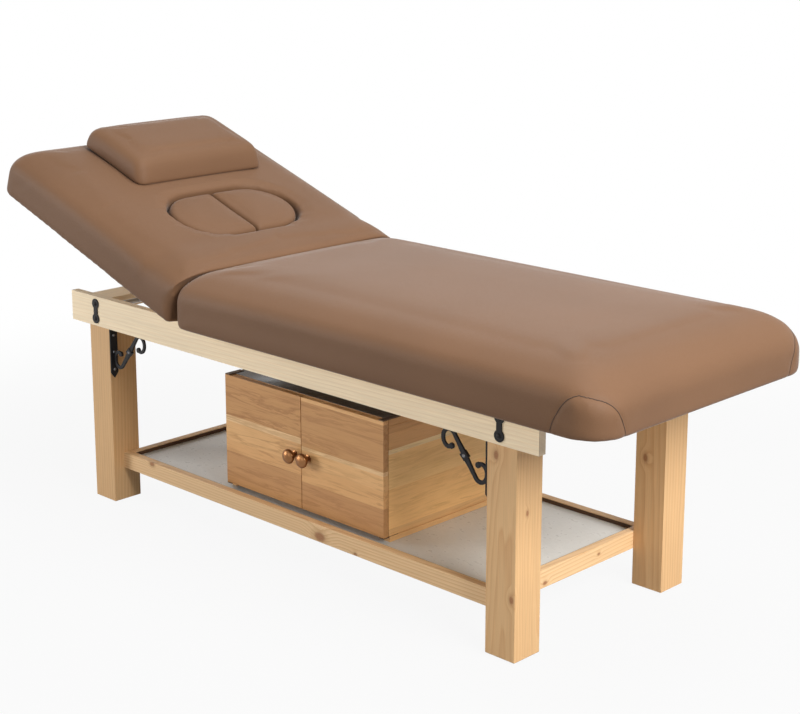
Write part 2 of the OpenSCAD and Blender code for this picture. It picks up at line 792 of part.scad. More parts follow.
// The fixed leaves on the bearer, each with its two outer knuckles
module hinge_fixed_leaves() {
    side_y = (hinge_w - knuckle_len) / 2;
    color(steel) translate([pivot_x, 0, pivot_z]) for (y = hinge_places) translate([0, y, 0]) {
        block([knuckle_r - leaf_t, -hinge_w / 2, -leaf_len], [knuckle_r, hinge_w / 2, -knuckle_r - knuckle_gap]);
        for (s = [-1, 1]) difference() {
            union() {
                translate([0, s * side_y, 0]) rod_y(knuckle_r, knuckle_len);
                translate([knuckle_r - leaf_t / 2, s * side_y, -knuckle_r])
                    cube([leaf_t, knuckle_len, 2 * knuckle_r], center = true);
            }
            rod_y(pin_r + fit, hinge_w + 2 * eps);
        }
    }
}

// The moving leaves under the head board, each with its middle knuckle
module hinge_moving_leaves() {
    mid = knuckle_len - 2 * knuckle_gap;
    color(steel) on_head() for (y = hinge_places) translate([0, y, 0]) difference() {
        union() {
            block([-leaf_len, -hinge_w / 2, -leaf_t], [-leaf_start, hinge_w / 2, 0]);
            block([-leaf_start - eps, -mid / 2, -pivot_drop], [0, mid / 2, 0]);
            translate([0, 0, -pivot_drop]) rod_y(knuckle_r, mid);
        }
        translate([0, 0, -pivot_drop]) rod_y(pin_r + fit, mid + 2 * eps);
    }
}

// The pins of the three hinges
module hinge_pins() {
    color(steel) for (y = hinge_places) translate([pivot_x, y, pivot_z]) rod_y(pin_r, hinge_w);
}

// Two lugs under the head board that hold the prop's pivot rod
module prop_lugs() {
    low = -pivot_drop - rod_r - lug_wall;
    color(steel) on_head() for (s = [-1, 1]) translate([-prop_a, s * lug_y, 0]) difference() {
        block([-lug_x / 2, -lug_w / 2, low], [lug_x / 2, lug_w / 2, 0]);
        translate([0, 0, -pivot_drop]) rod_y(rod_r + fit, lug_w + 2 * eps);
    }
}

// Place of the prop's pivot
module at_prop() {
    on_head() translate([-prop_a, 0, -pivot_drop]) children();
}

// The rod that the prop turns on
module prop_pivot_rod() {
    color(steel) at_prop() rod_y(rod_r, arm_apart + arm_t);
}

// The bar that rests on the racks
module prop_foot_bar() {
    color(steel) translate([foot_x, 0, pivot_z]) rod_y(rod_r, 2 * (rail_in - eps));
}

// The two arms of the prop, from the pivot rod to the foot bar
module prop_arms() {
    color(steel) at_prop() rotate([0, -2 * tilt, 0]) for (s = [-1, 1])
        translate([0, s * arm_apart / 2, 0]) difference() {
            union() {
                translate([-prop_a / 2, 0, 0]) cube([prop_a, arm_t, 2 * rod_r], center = true);
                for (x = [-prop_a, 0]) translate([x, 0, 0]) rod_y(arm_r, arm_t);
            }
            for (x = [-prop_a, 0]) translate([x, 0, 0]) rod_y(rod_r + fit, arm_t + 2 * eps);
        }
}

// Two notched racks inside the side rails, under the prop's foot bar
module racks() {
    len = (rack_notches + 1) * rack_pitch;
    low = rack_high - rack_h;
    teeth = [for (i = [1:rack_notches]) let (x = i * rack_pitch)
        each [[x - notch_w / 2, 0], [x - notch_w / 2, -notch_depth], [x, -notch_depth], [x + notch_w / 2, 0]]];
    color(steel) for (sy = [-1, 1])
        translate([rack_x0, sy * (rail_in - rack_t / 2), rack_high]) rotate([90, 0, 0])
            linear_extrude(rack_t, center = true)
                polygon(concat([[0, low - rack_high], [0, 0]], teeth, [[len, 0], [len, low - rack_high]]));
}

centred() leg(-1, -1);  // leg_front_head
centred() leg(1, -1);  // leg_front_foot
centred() leg(-1, 1);  // leg_rear_head
centred() leg(1, 1);  // leg_rear_foot
centred() foot_glides();
centred() side_rail(-1);  // side_rail_front
centred() side_rail(1);  // side_rail_rear
centred() crossbar(-1);  // crossbar_head
centred() crossbar(1);  // crossbar_foot
centred() hinge_bearer();
centred() slat(slat_mid_share);  // slat_mid
centred() slat(slat_foot_share);  // slat_foot
centred() shelf_rail_long(-1);  // shelf_rail_front
centred() shelf_rail_long(1);  // shelf_rail_rear
centred() shelf_rail_end(-1);  // shelf_rail_head
centred() shelf_rail_end(1);  // shelf_rail_foot
centred() shelf_board();
centred() shelf_cleats();
centred() cabinet_side(-1);  // cabinet_side_left
centred() cabinet_side(1);  // cabinet_side_right
centred() cabinet_top();
centred() cabinet_bottom();
centred() cabinet_back();
centred() cabinet_plinth();
centred() door_pivots();
centred() door_catches();
centred() door(-1);  // door_left
centred() door(1);  // door_right
centred() knob(-1);  // knob_left
centred() knob(1);  // knob_right
centred() catch_plate(-1);  // catch_plate_left
centred() catch_plate(1);  // catch_plate_right
centred() scroll_bracket(-1, -1);  // scroll_front_head
centred() scroll_bracket(1, -1);  // scroll_front_foot
centred() scroll_bracket(-1, 1);  // scroll_rear_head
centred() scroll_bracket(1, 1);  // scroll_rear_foot
centred() rail_plates();
centred() rail_bolts();
centred() main_board();
centred() main_cushion();
centred() hinge_fixed_leaves();
centred() hinge_moving_leaves();
centred() hinge_pins();
centred() head_board();
centred() head_cushion();
centred() prop_lugs();
centred() prop_pivot_rod();
centred() prop_arms();
centred() prop_foot_bar();
centred() racks();
centred() plug(-1);  // plug_front
centred() plug(1);  // plug_rear
centred() pillow();
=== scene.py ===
"""Spa bed with a cabinet base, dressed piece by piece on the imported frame.

A pine frame carries a fixed cushion and a hinged head section that a ratchet
prop holds up. A shelf between the legs carries a two-door cabinet.
"""
import logging
import math
from dataclasses import dataclass
from enum import Enum
from typing import Callable, Mapping, Sequence

import bmesh
import bpy
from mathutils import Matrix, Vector, kdtree
from mathutils.bvhtree import BVHTree


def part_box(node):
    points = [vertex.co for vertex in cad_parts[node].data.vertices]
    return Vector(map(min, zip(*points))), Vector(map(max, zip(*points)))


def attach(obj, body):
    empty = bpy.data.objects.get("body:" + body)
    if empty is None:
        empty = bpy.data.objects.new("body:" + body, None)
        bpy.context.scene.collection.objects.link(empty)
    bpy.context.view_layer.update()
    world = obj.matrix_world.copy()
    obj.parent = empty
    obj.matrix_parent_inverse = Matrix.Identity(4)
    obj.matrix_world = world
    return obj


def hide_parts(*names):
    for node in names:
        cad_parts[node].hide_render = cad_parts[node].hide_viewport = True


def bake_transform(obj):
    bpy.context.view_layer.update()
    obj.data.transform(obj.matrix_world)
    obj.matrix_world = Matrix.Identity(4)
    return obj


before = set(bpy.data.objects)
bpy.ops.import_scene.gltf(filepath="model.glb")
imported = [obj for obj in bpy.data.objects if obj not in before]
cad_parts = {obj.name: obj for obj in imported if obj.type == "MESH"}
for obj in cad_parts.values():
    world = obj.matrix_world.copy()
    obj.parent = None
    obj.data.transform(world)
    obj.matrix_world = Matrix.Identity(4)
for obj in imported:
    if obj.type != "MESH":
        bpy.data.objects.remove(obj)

LOG = logging.getLogger("spa_bed")
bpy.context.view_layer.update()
MM = 0.001
TILT = math.radians(19.1)

Colour = tuple[float, float, float]
Place = tuple[float, float, float]
Socket = bpy.types.NodeSocket
Where = Callable[[Vector], bool]


class Body(Enum):
    """The bodies that the bed's pieces ride on."""

    BASE = "base"
    HEAD = "head_section"
    PROP = "prop"
    DOOR_LEFT = "door_left"
    DOOR_RIGHT = "door_right"
    PLUG_FRONT = "plug_front"
    PLUG_REAR = "plug_rear"
    PILLOW = "pillow"


class Slot(Enum):
    """Names of the material slots."""

    LEATHERETTE = "leatherette"
    LEG_PINE = "leg_pine"
    RAIL_PINE = "rail_pine"
    PLYWOOD = "plywood"
    GREY_BOARD = "grey_board"
    CABINET_WOOD = "cabinet_wood"
    BLACK_IRON = "black_iron"
    ZINC_STEEL = "zinc_steel"
    COPPER = "copper"
    BLACK_PLASTIC = "black_plastic"


class Grain(Enum):
    """The way a board's fibres run, as the order of the coordinates along, across and through it."""

    ALONG_BED = (0, 1, 2)
    ACROSS_BED = (1, 0, 2)
    UPRIGHT = (2, 0, 1)

    def scale(self, across: float, along: float) -> list[float]:
        """A scale for each coordinate, one along the fibres and one across them."""
        return [along if axis == self.value[0] else across for axis in range(3)]


def held_share(value: float) -> float:
    """A value held between 0 and 1."""
    return max(0.0, min(1.0, value))


def scaled(colour: Colour, factor: float) -> Colour:
    """A colour made darker or paler."""
    return tuple(factor * part for part in colour)


def greys(*stops: tuple[float, float]) -> list[tuple[float, Colour]]:
    """Stops of a ramp in plain grey."""
    return [(at, (level,) * 3) for at, level in stops]


# Materials


class Graph:
    """A node tree, put together a node at a time."""

    def __init__(self, tree: bpy.types.NodeTree) -> None:
        """Empties the tree."""
        tree.nodes.clear()
        self.tree = tree

    def feed(self, socket: Socket, value: object) -> None:
        """Links a socket into another, or sets its plain value."""
        if isinstance(value, bpy.types.NodeSocket):
            self.tree.links.new(value, socket)
        else:
            socket.default_value = value

    def add(self, kind: str, feeds: Mapping[int | str, object] | None = None,
            **values: object) -> bpy.types.Node:
        """Adds a node.

        Args:
            kind: The node's type.
            feeds: What goes into its inputs, by their names or numbers.
            values: The node's own settings.

        Returns:
            The node.
        """
        node = self.tree.nodes.new(kind)
        for key, value in values.items():
            setattr(node, key, value)
        for socket, value in (feeds or {}).items():
            self.feed(node.inputs[socket], value)
        return node

    def maths(self, operation: str, *values: object) -> Socket:
        """Works out a sum on one, two or three sockets or numbers."""
        return self.add("ShaderNodeMath", dict(enumerate(values)), operation=operation).outputs[0]

    def seen(self) -> Socket:
        """1 for rays from the camera, from gloss and through glass, 0 for the rest."""
        path = self.add("ShaderNodeLightPath").outputs
        total = path["Is Camera Ray"]
        for name in ("Is Glossy Ray", "Is Transmission Ray"):
            total = self.maths("MAXIMUM", total, path[name])
        return total


class Recipe(Graph):
    """A material's node tree round its principled shader."""

    def __init__(self, name: str) -> None:
        """Starts the material."""
        self.material = bpy.data.materials.new(name)
        self.material.use_nodes = True
        super().__init__(self.material.node_tree)
        self.shader = self.add("ShaderNodeBsdfPrincipled")
        self.add("ShaderNodeOutputMaterial", {"Surface": self.shader.outputs[0]})
        self.place = self.add("ShaderNodeTexCoord").outputs["Object"]

    def give(self, **values: object) -> None:
        """Feeds the shader's own inputs, whose names are written with low lines."""
        for name, value in values.items():
            self.feed(self.shader.inputs[name.replace("_", " ")], value)

    def parts(self, vector: Socket) -> Sequence[Socket]:
        """A vector's three coordinates."""
        return self.add("ShaderNodeSeparateXYZ", {0: vector}).outputs

    def spread(self, value: Socket, low: float, high: float, to_low: float, to_high: float,
               soft: bool = False) -> Socket:
        """Carries a value from one range to another, and holds it there."""
        feeds = dict(enumerate((value, low, high, to_low, to_high)))
        return self.add("ShaderNodeMapRange", feeds,
                        interpolation_type="SMOOTHSTEP" if soft else "LINEAR").outputs[0]

    def stretch(self, grain: Grain, across: float, along: float) -> Socket:
        """The place on the piece, scaled across a grain and along it."""
        feeds = {"Vector": self.place, "Scale": grain.scale(across, along)}
        return self.add("ShaderNodeMapping", feeds).outputs[0]

    def cloud(self, vector: Socket, scale: float, detail: float = 2.0, roughness: float = 0.5,
              warp: float = 0.0, layer: Socket | None = None) -> Socket:
        """Soft noise between 0 and 1.

        Args:
            vector: The place.
            scale: How fine it is.
            detail: Its octaves.
            roughness: How strong the fine octaves are.
            warp: How twisted it is.
            layer: Where given, each value of it has a noise of its own.

        Returns:
            The noise.
        """
        feeds = {"Vector": vector, "Scale": scale, "Detail": detail, "Roughness": roughness,
                 "Distortion": warp}
        if layer is None:
            return self.add("ShaderNodeTexNoise", feeds).outputs[0]
        return self.add("ShaderNodeTexNoise", {**feeds, "W": layer}, noise_dimensions="4D").outputs[0]

    def ramp(self, value: Socket, stops: Sequence[tuple[float, Colour]], steps: bool = False) -> Socket:
        """Colours along a value from 0 to 1, blended or, with steps, each up to the next."""
        node = self.add("ShaderNodeValToRGB", {0: value})
        band = node.color_ramp
        band.interpolation = "CONSTANT" if steps else "LINEAR"
        while len(band.elements) < len(stops):
            band.elements.new(1.0)
        for element, (at, colour) in zip(band.elements, stops):
            element.position = at
            element.color = (*colour, 1.0)
        return node.outputs[0]

    def mix(self, share: object, first: object, second: object, kind: str = "MIX") -> Socket:
        """Mixes two colours."""
        share_in, first_in, second_in, result = 0, 6, 7, 2
        feeds = {at: (*value, 1.0) if isinstance(value, tuple) else value
                 for at, value in ((share_in, share), (first_in, first), (second_in, second))}
        return self.add("ShaderNodeMix", feeds, data_type="RGBA", blend_type=kind).outputs[result]

    def bump(self, height: Socket, deep: float, strength: float) -> None:
        """Raises the surface by a height, deep metres at most."""
        feeds = {"Strength": strength, "Distance": deep, "Height": height}
        self.give(Normal=self.add("ShaderNodeBump", feeds).outputs[0])


@dataclass(frozen=True)
class Knot:
    """A branch knot in a timber, at a place on its face."""

    at: Place
    radius: float


@dataclass(frozen=True)
class Timber:
    """Sawn softwood with year rings about a pith line, fibres and knots."""

    name: str
    grain: Grain
    pale: Colour
    late: Colour
    ring_gap: float
    pith: tuple[float, float]
    lean: tuple[float, float]
    wander: float
    knots: tuple[Knot, ...] = ()
    contrast: float = 0.6
    end_colour: Colour = (0.66, 0.56, 0.42)
    knot_colour: Colour = (0.20, 0.085, 0.033)
    knot_long: float = 0.62
    rough: float = 0.5

    def rings(self, r: Recipe, gaps: Sequence[tuple[Knot, Socket]]) -> Socket:
        """The distance from the pith line, with the rings' wander and the knots' push."""
        parts = r.parts(r.place)
        along, *cross = (parts[axis] for axis in self.grain.value)
        warp = r.maths("SUBTRACT", r.cloud(r.stretch(self.grain, 14.0, 1.6), 1.0, 3.0), 0.5)
        offs = [r.maths("SUBTRACT", r.maths("SUBTRACT", value, spot), r.maths("MULTIPLY", along, lean))
                for value, spot, lean in zip(cross, self.pith, self.lean)]
        square = r.maths("ADD", *(r.maths("MULTIPLY", off, off) for off in offs))
        rings = r.maths("MULTIPLY_ADD", warp, 2.4 * self.wander, r.maths("SQRT", square))
        for knot, gap in gaps:
            push = r.spread(gap, 0.0, 4.0 * knot.radius, 1.6 * knot.radius, 0.0, soft=True)
            rings = r.maths("ADD", rings, push)
        return rings

    def knot_gap(self, r: Recipe, knot: Knot) -> Socket:
        """The distance from a knot, shortened along the grain."""
        middle = [a * b for a, b in zip(knot.at, self.grain.scale(1.0, self.knot_long))]
        node = r.add("ShaderNodeVectorMath", {0: r.stretch(self.grain, 1.0, self.knot_long), 1: middle},
                     operation="DISTANCE")
        uneven = r.maths("SUBTRACT", r.cloud(r.place, 140.0, 2.0), 0.5)
        return r.maths("MULTIPLY_ADD", uneven, 0.35 * knot.radius, node.outputs["Value"])

    def knotted(self, r: Recipe, colour: Socket, knot: Knot, gap: Socket) -> Socket:
        """The colour with one knot in it: its rings, its rim and the stain round it."""
        inner = r.maths("FRACT", r.maths("DIVIDE", gap, 2.6 * MM))
        heart = r.mix(r.spread(inner, 0.3, 0.9, 0.25, 0.8), scaled(self.knot_colour, 2.0), self.knot_colour)
        stain = tuple(0.5 * (a + b) for a, b in zip(self.late, self.knot_colour))
        halo = r.spread(gap, 1.0 * knot.radius, 2.2 * knot.radius, 0.3, 0.0, soft=True)
        rim = r.spread(gap, 0.55 * knot.radius, 1.25 * knot.radius, 0.9, 0.0, soft=True)
        return r.mix(rim, r.mix(halo, colour, stain), heart)

    def material(self) -> bpy.types.Material:
        """Makes the material."""
        r = Recipe(self.name)
        gaps = [(knot, self.knot_gap(r, knot)) for knot in self.knots]
        phase = r.maths("FRACT", r.maths("DIVIDE", self.rings(r, gaps), self.ring_gap))
        line = r.ramp(phase, greys((0.0, 0.05), (0.45, 0.2), (0.8, 0.75), (0.9, 1.0), (0.98, 0.1)))
        fibre = r.cloud(r.stretch(self.grain, 420.0, 9.0), 1.0, 4.0, 0.65)
        blotch = r.cloud(r.stretch(self.grain, 5.0, 1.3), 1.0, 2.0)
        share = r.maths("MULTIPLY", line, r.spread(blotch, 0.3, 0.7, 0.55 * self.contrast, self.contrast))
        tone = r.maths("MULTIPLY", r.spread(fibre, 0.25, 0.75, 0.88, 1.08),
                       r.spread(blotch, 0.3, 0.7, 0.94, 1.05))
        grey = r.add("ShaderNodeCombineColor", {0: tone, 1: tone, 2: tone}).outputs[0]
        colour = r.mix(1.0, r.mix(share, self.pale, self.late), grey, "MULTIPLY")
        for knot, gap in gaps:
            colour = self.knotted(r, colour, knot, gap)
        facing = r.parts(r.add("ShaderNodeTexCoord").outputs["Normal"])[self.grain.value[0]]
        sawn = r.spread(r.maths("ABSOLUTE", facing), 0.8, 0.95, 0.0, 0.6)
        r.bump(r.maths("MULTIPLY_ADD", line, -0.35, fibre), 0.25 * MM, 0.6)
        r.give(Base_Color=r.mix(sawn, colour, self.end_colour), Specular_IOR_Level=0.35,
               Roughness=r.spread(fibre, 0.2, 0.8, self.rough - 0.06, self.rough + 0.08))
        return r.material


@dataclass(frozen=True)
class PlankBoard:
    """Veneered board that shows planks of several tones, one above another."""

    name: str
    grain: Grain
    low: float
    high: float
    planks: tuple[tuple[float, Colour], ...]
    late_share: float = 0.95
    late_tint: Colour = (0.56, 0.44, 0.32)
    rough: float = 0.42

    def material(self) -> bpy.types.Material:
        """Makes the material."""
        r = Recipe(self.name)
        height = r.spread(r.parts(r.place)[2], self.low, self.high, 0.0, 1.0)
        tone = r.ramp(height, self.planks, steps=True)
        order = greys(*((at, i / len(self.planks)) for i, (at, _) in enumerate(self.planks)))
        layer = r.maths("MULTIPLY", r.ramp(height, order, steps=True), 3.7)
        flame = r.cloud(r.stretch(self.grain, 38.0, 3.2), 1.0, 5.0, 0.62, 0.9, layer)
        flame = r.maths("FRACT", r.maths("MULTIPLY", flame, 5.0))
        line = r.ramp(flame, greys((0.0, 0.1), (0.45, 0.25), (0.82, 0.9), (0.92, 0.35), (1.0, 0.1)))
        broad = r.cloud(r.stretch(self.grain, 7.0, 1.8), 1.0, 2.0, layer=layer)
        line = r.maths("MULTIPLY", line, r.spread(broad, 0.35, 0.65, 0.35, 1.0))
        pores = r.cloud(r.stretch(self.grain, 500.0, 14.0), 1.0, 3.0, 0.6)
        dark = r.mix(1.0, tone, self.late_tint, "MULTIPLY")
        colour = r.mix(r.maths("MULTIPLY", line, self.late_share), tone, dark)
        colour = r.mix(r.spread(pores, 0.52, 0.75, 0.0, 0.4), colour, dark)
        r.give(Base_Color=colour, Specular_IOR_Level=0.4,
               Roughness=r.spread(pores, 0.2, 0.8, self.rough - 0.05, self.rough + 0.1))
        r.bump(r.maths("MULTIPLY_ADD", line, -0.25, r.maths("SUBTRACT", 1.0, pores)), 0.2 * MM, 0.5)
        return r.material


@dataclass(frozen=True)
class Leatherette:
    """Matt satin leatherette with a fine pebble grain."""

    name: str = "Leatherette_taupe_brown"
    colour: Colour = (0.160, 0.083, 0.043)
    grain: float = 900.0
    rough: float = 0.55

    def material(self) -> bpy.types.Material:
        """Makes the material."""
        r = Recipe(self.name)
        broad, fine = r.cloud(r.place, 3.2, 2.0), r.cloud(r.place, 260.0, 3.0)
        dull, bright, pit = (scaled(self.colour, factor) for factor in (0.95, 1.05, 0.6))
        tone = r.mix(r.spread(broad, 0.3, 0.7, 0.0, 1.0), dull, bright)
        pebbles = r.add("ShaderNodeTexVoronoi", {"Vector": r.place, "Scale": self.grain}, feature="F1")
        pits = r.spread(pebbles.outputs["Distance"], 0.25, 0.75, 1.0, 0.0)
        dark_share = r.maths("MULTIPLY", r.maths("SUBTRACT", 1.0, pits), 0.22)
        r.give(Base_Color=r.mix(dark_share, tone, pit), Specular_IOR_Level=0.16,
               Sheen_Weight=0.18, Sheen_Roughness=0.34,
               Roughness=r.spread(fine, 0.3, 0.7, self.rough - 0.04, self.rough + 0.06))
        r.bump(r.maths("MULTIPLY_ADD", fine, 0.5, pits), 0.18 * MM, 0.55)
        return r.material


@dataclass(frozen=True)
class Metal:
    """A smooth part's surface: bare metal, or a coat or plastic that isn't metallic."""

    name: str
    colour: Colour
    metallic: float
    rough: float
    grit: float = 500.0
    deep: float = 0.1 * MM
    gloss: float = 0.5

    def material(self) -> bpy.types.Material:
        """Makes the material."""
        r = Recipe(self.name)
        grit, broad = r.cloud(r.place, self.grit, 3.0, 0.6), r.cloud(r.place, 22.0, 3.0)
        share = r.spread(broad, 0.35, 0.65, 0.0, 1.0)
        r.give(Base_Color=r.mix(share, scaled(self.colour, 0.8), self.colour),
               Metallic=self.metallic, Specular_IOR_Level=self.gloss,
               Roughness=r.spread(broad, 0.3, 0.7, self.rough - 0.05, self.rough + 0.07))
        r.bump(grit, self.deep, 0.5)
        return r.material


@dataclass(frozen=True)
class Board:
    """Plain sheet board with a faint fibre mottle, or plywood with a face grain."""

    name: str
    pale: Colour
    dark: Colour
    along: float = 60.0
    rough: float = 0.7
    gloss: float = 0.3

    def material(self) -> bpy.types.Material:
        """Makes the material."""
        r = Recipe(self.name)
        fibre = r.cloud(r.stretch(Grain.ALONG_BED, 90.0, self.along), 1.0, 4.0, 0.6)
        broad = r.cloud(r.place, 4.0, 2.0)
        share = r.maths("MULTIPLY", r.spread(fibre, 0.35, 0.7, 0.0, 1.0),
                        r.spread(broad, 0.3, 0.7, 0.5, 1.0))
        r.give(Base_Color=r.mix(share, self.pale, self.dark), Specular_IOR_Level=self.gloss,
               Roughness=r.spread(fibre, 0.2, 0.8, self.rough - 0.06, self.rough + 0.06))
        r.bump(fibre, 0.15 * MM, 0.4)
        return r.material


# Mesh work


def box(node: str) -> tuple[Vector, Vector]:
    """Two opposite corners of a CAD node."""
    lo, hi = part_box(node)
    return Vector(lo), Vector(hi)


def hang(name: str, mesh: bpy.types.Mesh) -> bpy.types.Object:
    """Puts a mesh into the scene as an object of its own."""
    mesh.name = name
    piece = bpy.data.objects.new(name, mesh)
    bpy.context.scene.collection.objects.link(piece)
    return piece


def made(name: str, work: bmesh.types.BMesh, outward: bool = False) -> bpy.types.Mesh:
    """Turns mesh work into a mesh, with its faces turned outwards where that is asked for."""
    if outward:
        bmesh.ops.recalc_face_normals(work, faces=work.faces)
    mesh = bpy.data.meshes.new(name)
    work.to_mesh(mesh)
    work.free()
    return mesh


def settle(piece: bpy.types.Object) -> None:
    """Turns a piece's modifiers into plain mesh."""
    depsgraph = bpy.context.evaluated_depsgraph_get()
    mesh = bpy.data.meshes.new_from_object(piece.evaluated_get(depsgraph), preserve_all_data_layers=True,
                                           depsgraph=depsgraph)
    piece.modifiers.clear()
    piece.data = mesh


def shade(piece: bpy.types.Object, angle: float) -> None:
    """Smooth shading with sharp edges past an angle, in degrees."""
    piece.data.polygons.foreach_set("use_smooth", [True] * len(piece.data.polygons))
    piece.data.set_sharp_from_angle(angle=math.radians(angle))


def finish(piece: bpy.types.Object, material: bpy.types.Material,
           body: Body | None = None, node: str = "") -> None:
    """Gives a piece its material and its body, and hides the CAD node that it replaces.
    Gives a piece what the export asks for.

    Args:
        piece: The piece.
        material: Its material.
        body: The body it rides on, or none.
        node: The CAD node that it replaces, if any.
    """
    piece.data.materials.clear()
    piece.data.materials.append(material)
    if body is not None:
        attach(piece, body.value)
    if node:
        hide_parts(node)
    LOG.info("%s: %d faces", piece.name, len(piece.data.polygons))


def quads(work: bmesh.types.BMesh, rings: Sequence[Sequence[bmesh.types.BMVert]]) -> None:
    """Joins each ring of vertices to the next, all the way round."""
    for first, second in zip(rings, rings[1:]):
        for k in range(len(first)):
            j = (k + 1) % len(first)
            work.faces.new((first[k], first[j], second[j], second[k]))


def blocks(name: str, corners: Sequence[tuple[Sequence[float], Sequence[float]]]) -> bpy.types.Object:
    """One piece of plain blocks, each between two opposite corners."""
    work = bmesh.new()
    for lo, hi in corners:
        lo, hi = Vector(lo), Vector(hi)
        for vert in bmesh.ops.create_cube(work, size=1.0)["verts"]:
            vert.co = (lo + hi) / 2 + vert.co * (hi - lo)
    return hang(name, made(name, work))


def tube(points: Sequence[Vector], radius: float, sides: int = 6) -> bmesh.types.BMesh:
    """A closed tube with flat ends along a line of points."""
    work = bmesh.new()
    rings: list[list[bmesh.types.BMVert]] = []
    side = Vector((0.0, 0.0, 1.0))
    for i, point in enumerate(points):
        ahead = (points[min(i + 1, len(points) - 1)] - points[max(i - 1, 0)]).normalized()
        side = side - ahead * side.dot(ahead)
        side = side.normalized() if side.length > 1e-6 else ahead.orthogonal().normalized()
        up = ahead.cross(side)
        rings.append([work.verts.new(point + radius * (math.cos(a) * side + math.sin(a) * up))
                      for a in (2 * math.pi * k / sides for k in range(sides))])
    quads(work, rings)
    work.faces.new(reversed(rings[0]))
    work.faces.new(rings[-1])
    return work


def copy_node(node: str, name: str) -> bpy.types.Object:
    """A copy of a CAD node's mesh with its loose triangles joined, still without a body."""
    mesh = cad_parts[node].data.copy()
    work = bmesh.new()
    work.from_mesh(mesh)
    bmesh.ops.remove_doubles(work, verts=work.verts, dist=2e-6)
    bmesh.ops.dissolve_limit(work, angle_limit=math.radians(0.6), verts=work.verts, edges=work.edges)
    work.to_mesh(mesh)
    work.free()
    mesh.materials.clear()
    return hang(name, mesh)


def ease(piece: bpy.types.Object, width: float, angle: float = 38.0) -> None:
    """Rounds a piece's sharp edges and keeps its flat faces flat."""
    bevel = piece.modifiers.new("Eased", "BEVEL")
    bevel.width = width
    bevel.segments = 2
    bevel.limit_method = "ANGLE"
    bevel.angle_limit = math.radians(angle)
    bevel.use_clamp_overlap = True
    bevel.harden_normals = False
    shade(piece, 180.0)
    piece.modifiers.new("Flat", "WEIGHTED_NORMAL").keep_sharp = True
    settle(piece)


def dress(node: str, material: bpy.types.Material, edge: float = 0.0,
          body: Body = Body.BASE) -> bpy.types.Object:
    """Puts a finished copy of a CAD node in the node's place.

    Args:
        node: The CAD node.
        material: The copy's material.
        edge: The width of its eased edges, or 0 on turned and folded parts.
        body: The body that it rides on.

    Returns:
        The copy.
    """
    piece = copy_node(node, node.capitalize())
    if edge > 0:
        ease(piece, edge)
    else:
        shade(piece, 32.0)
    finish(piece, material, body, node)
    return piece


# Timber frame and shelf

RAIL: tuple[Colour, Colour] = ((0.98, 0.81, 0.57), (0.76, 0.53, 0.29))
LEG: tuple[Colour, Colour] = ((0.68, 0.43, 0.21), (0.50, 0.235, 0.085))
SHELF: tuple[Colour, Colour] = ((0.78, 0.53, 0.29), (0.52, 0.27, 0.10))


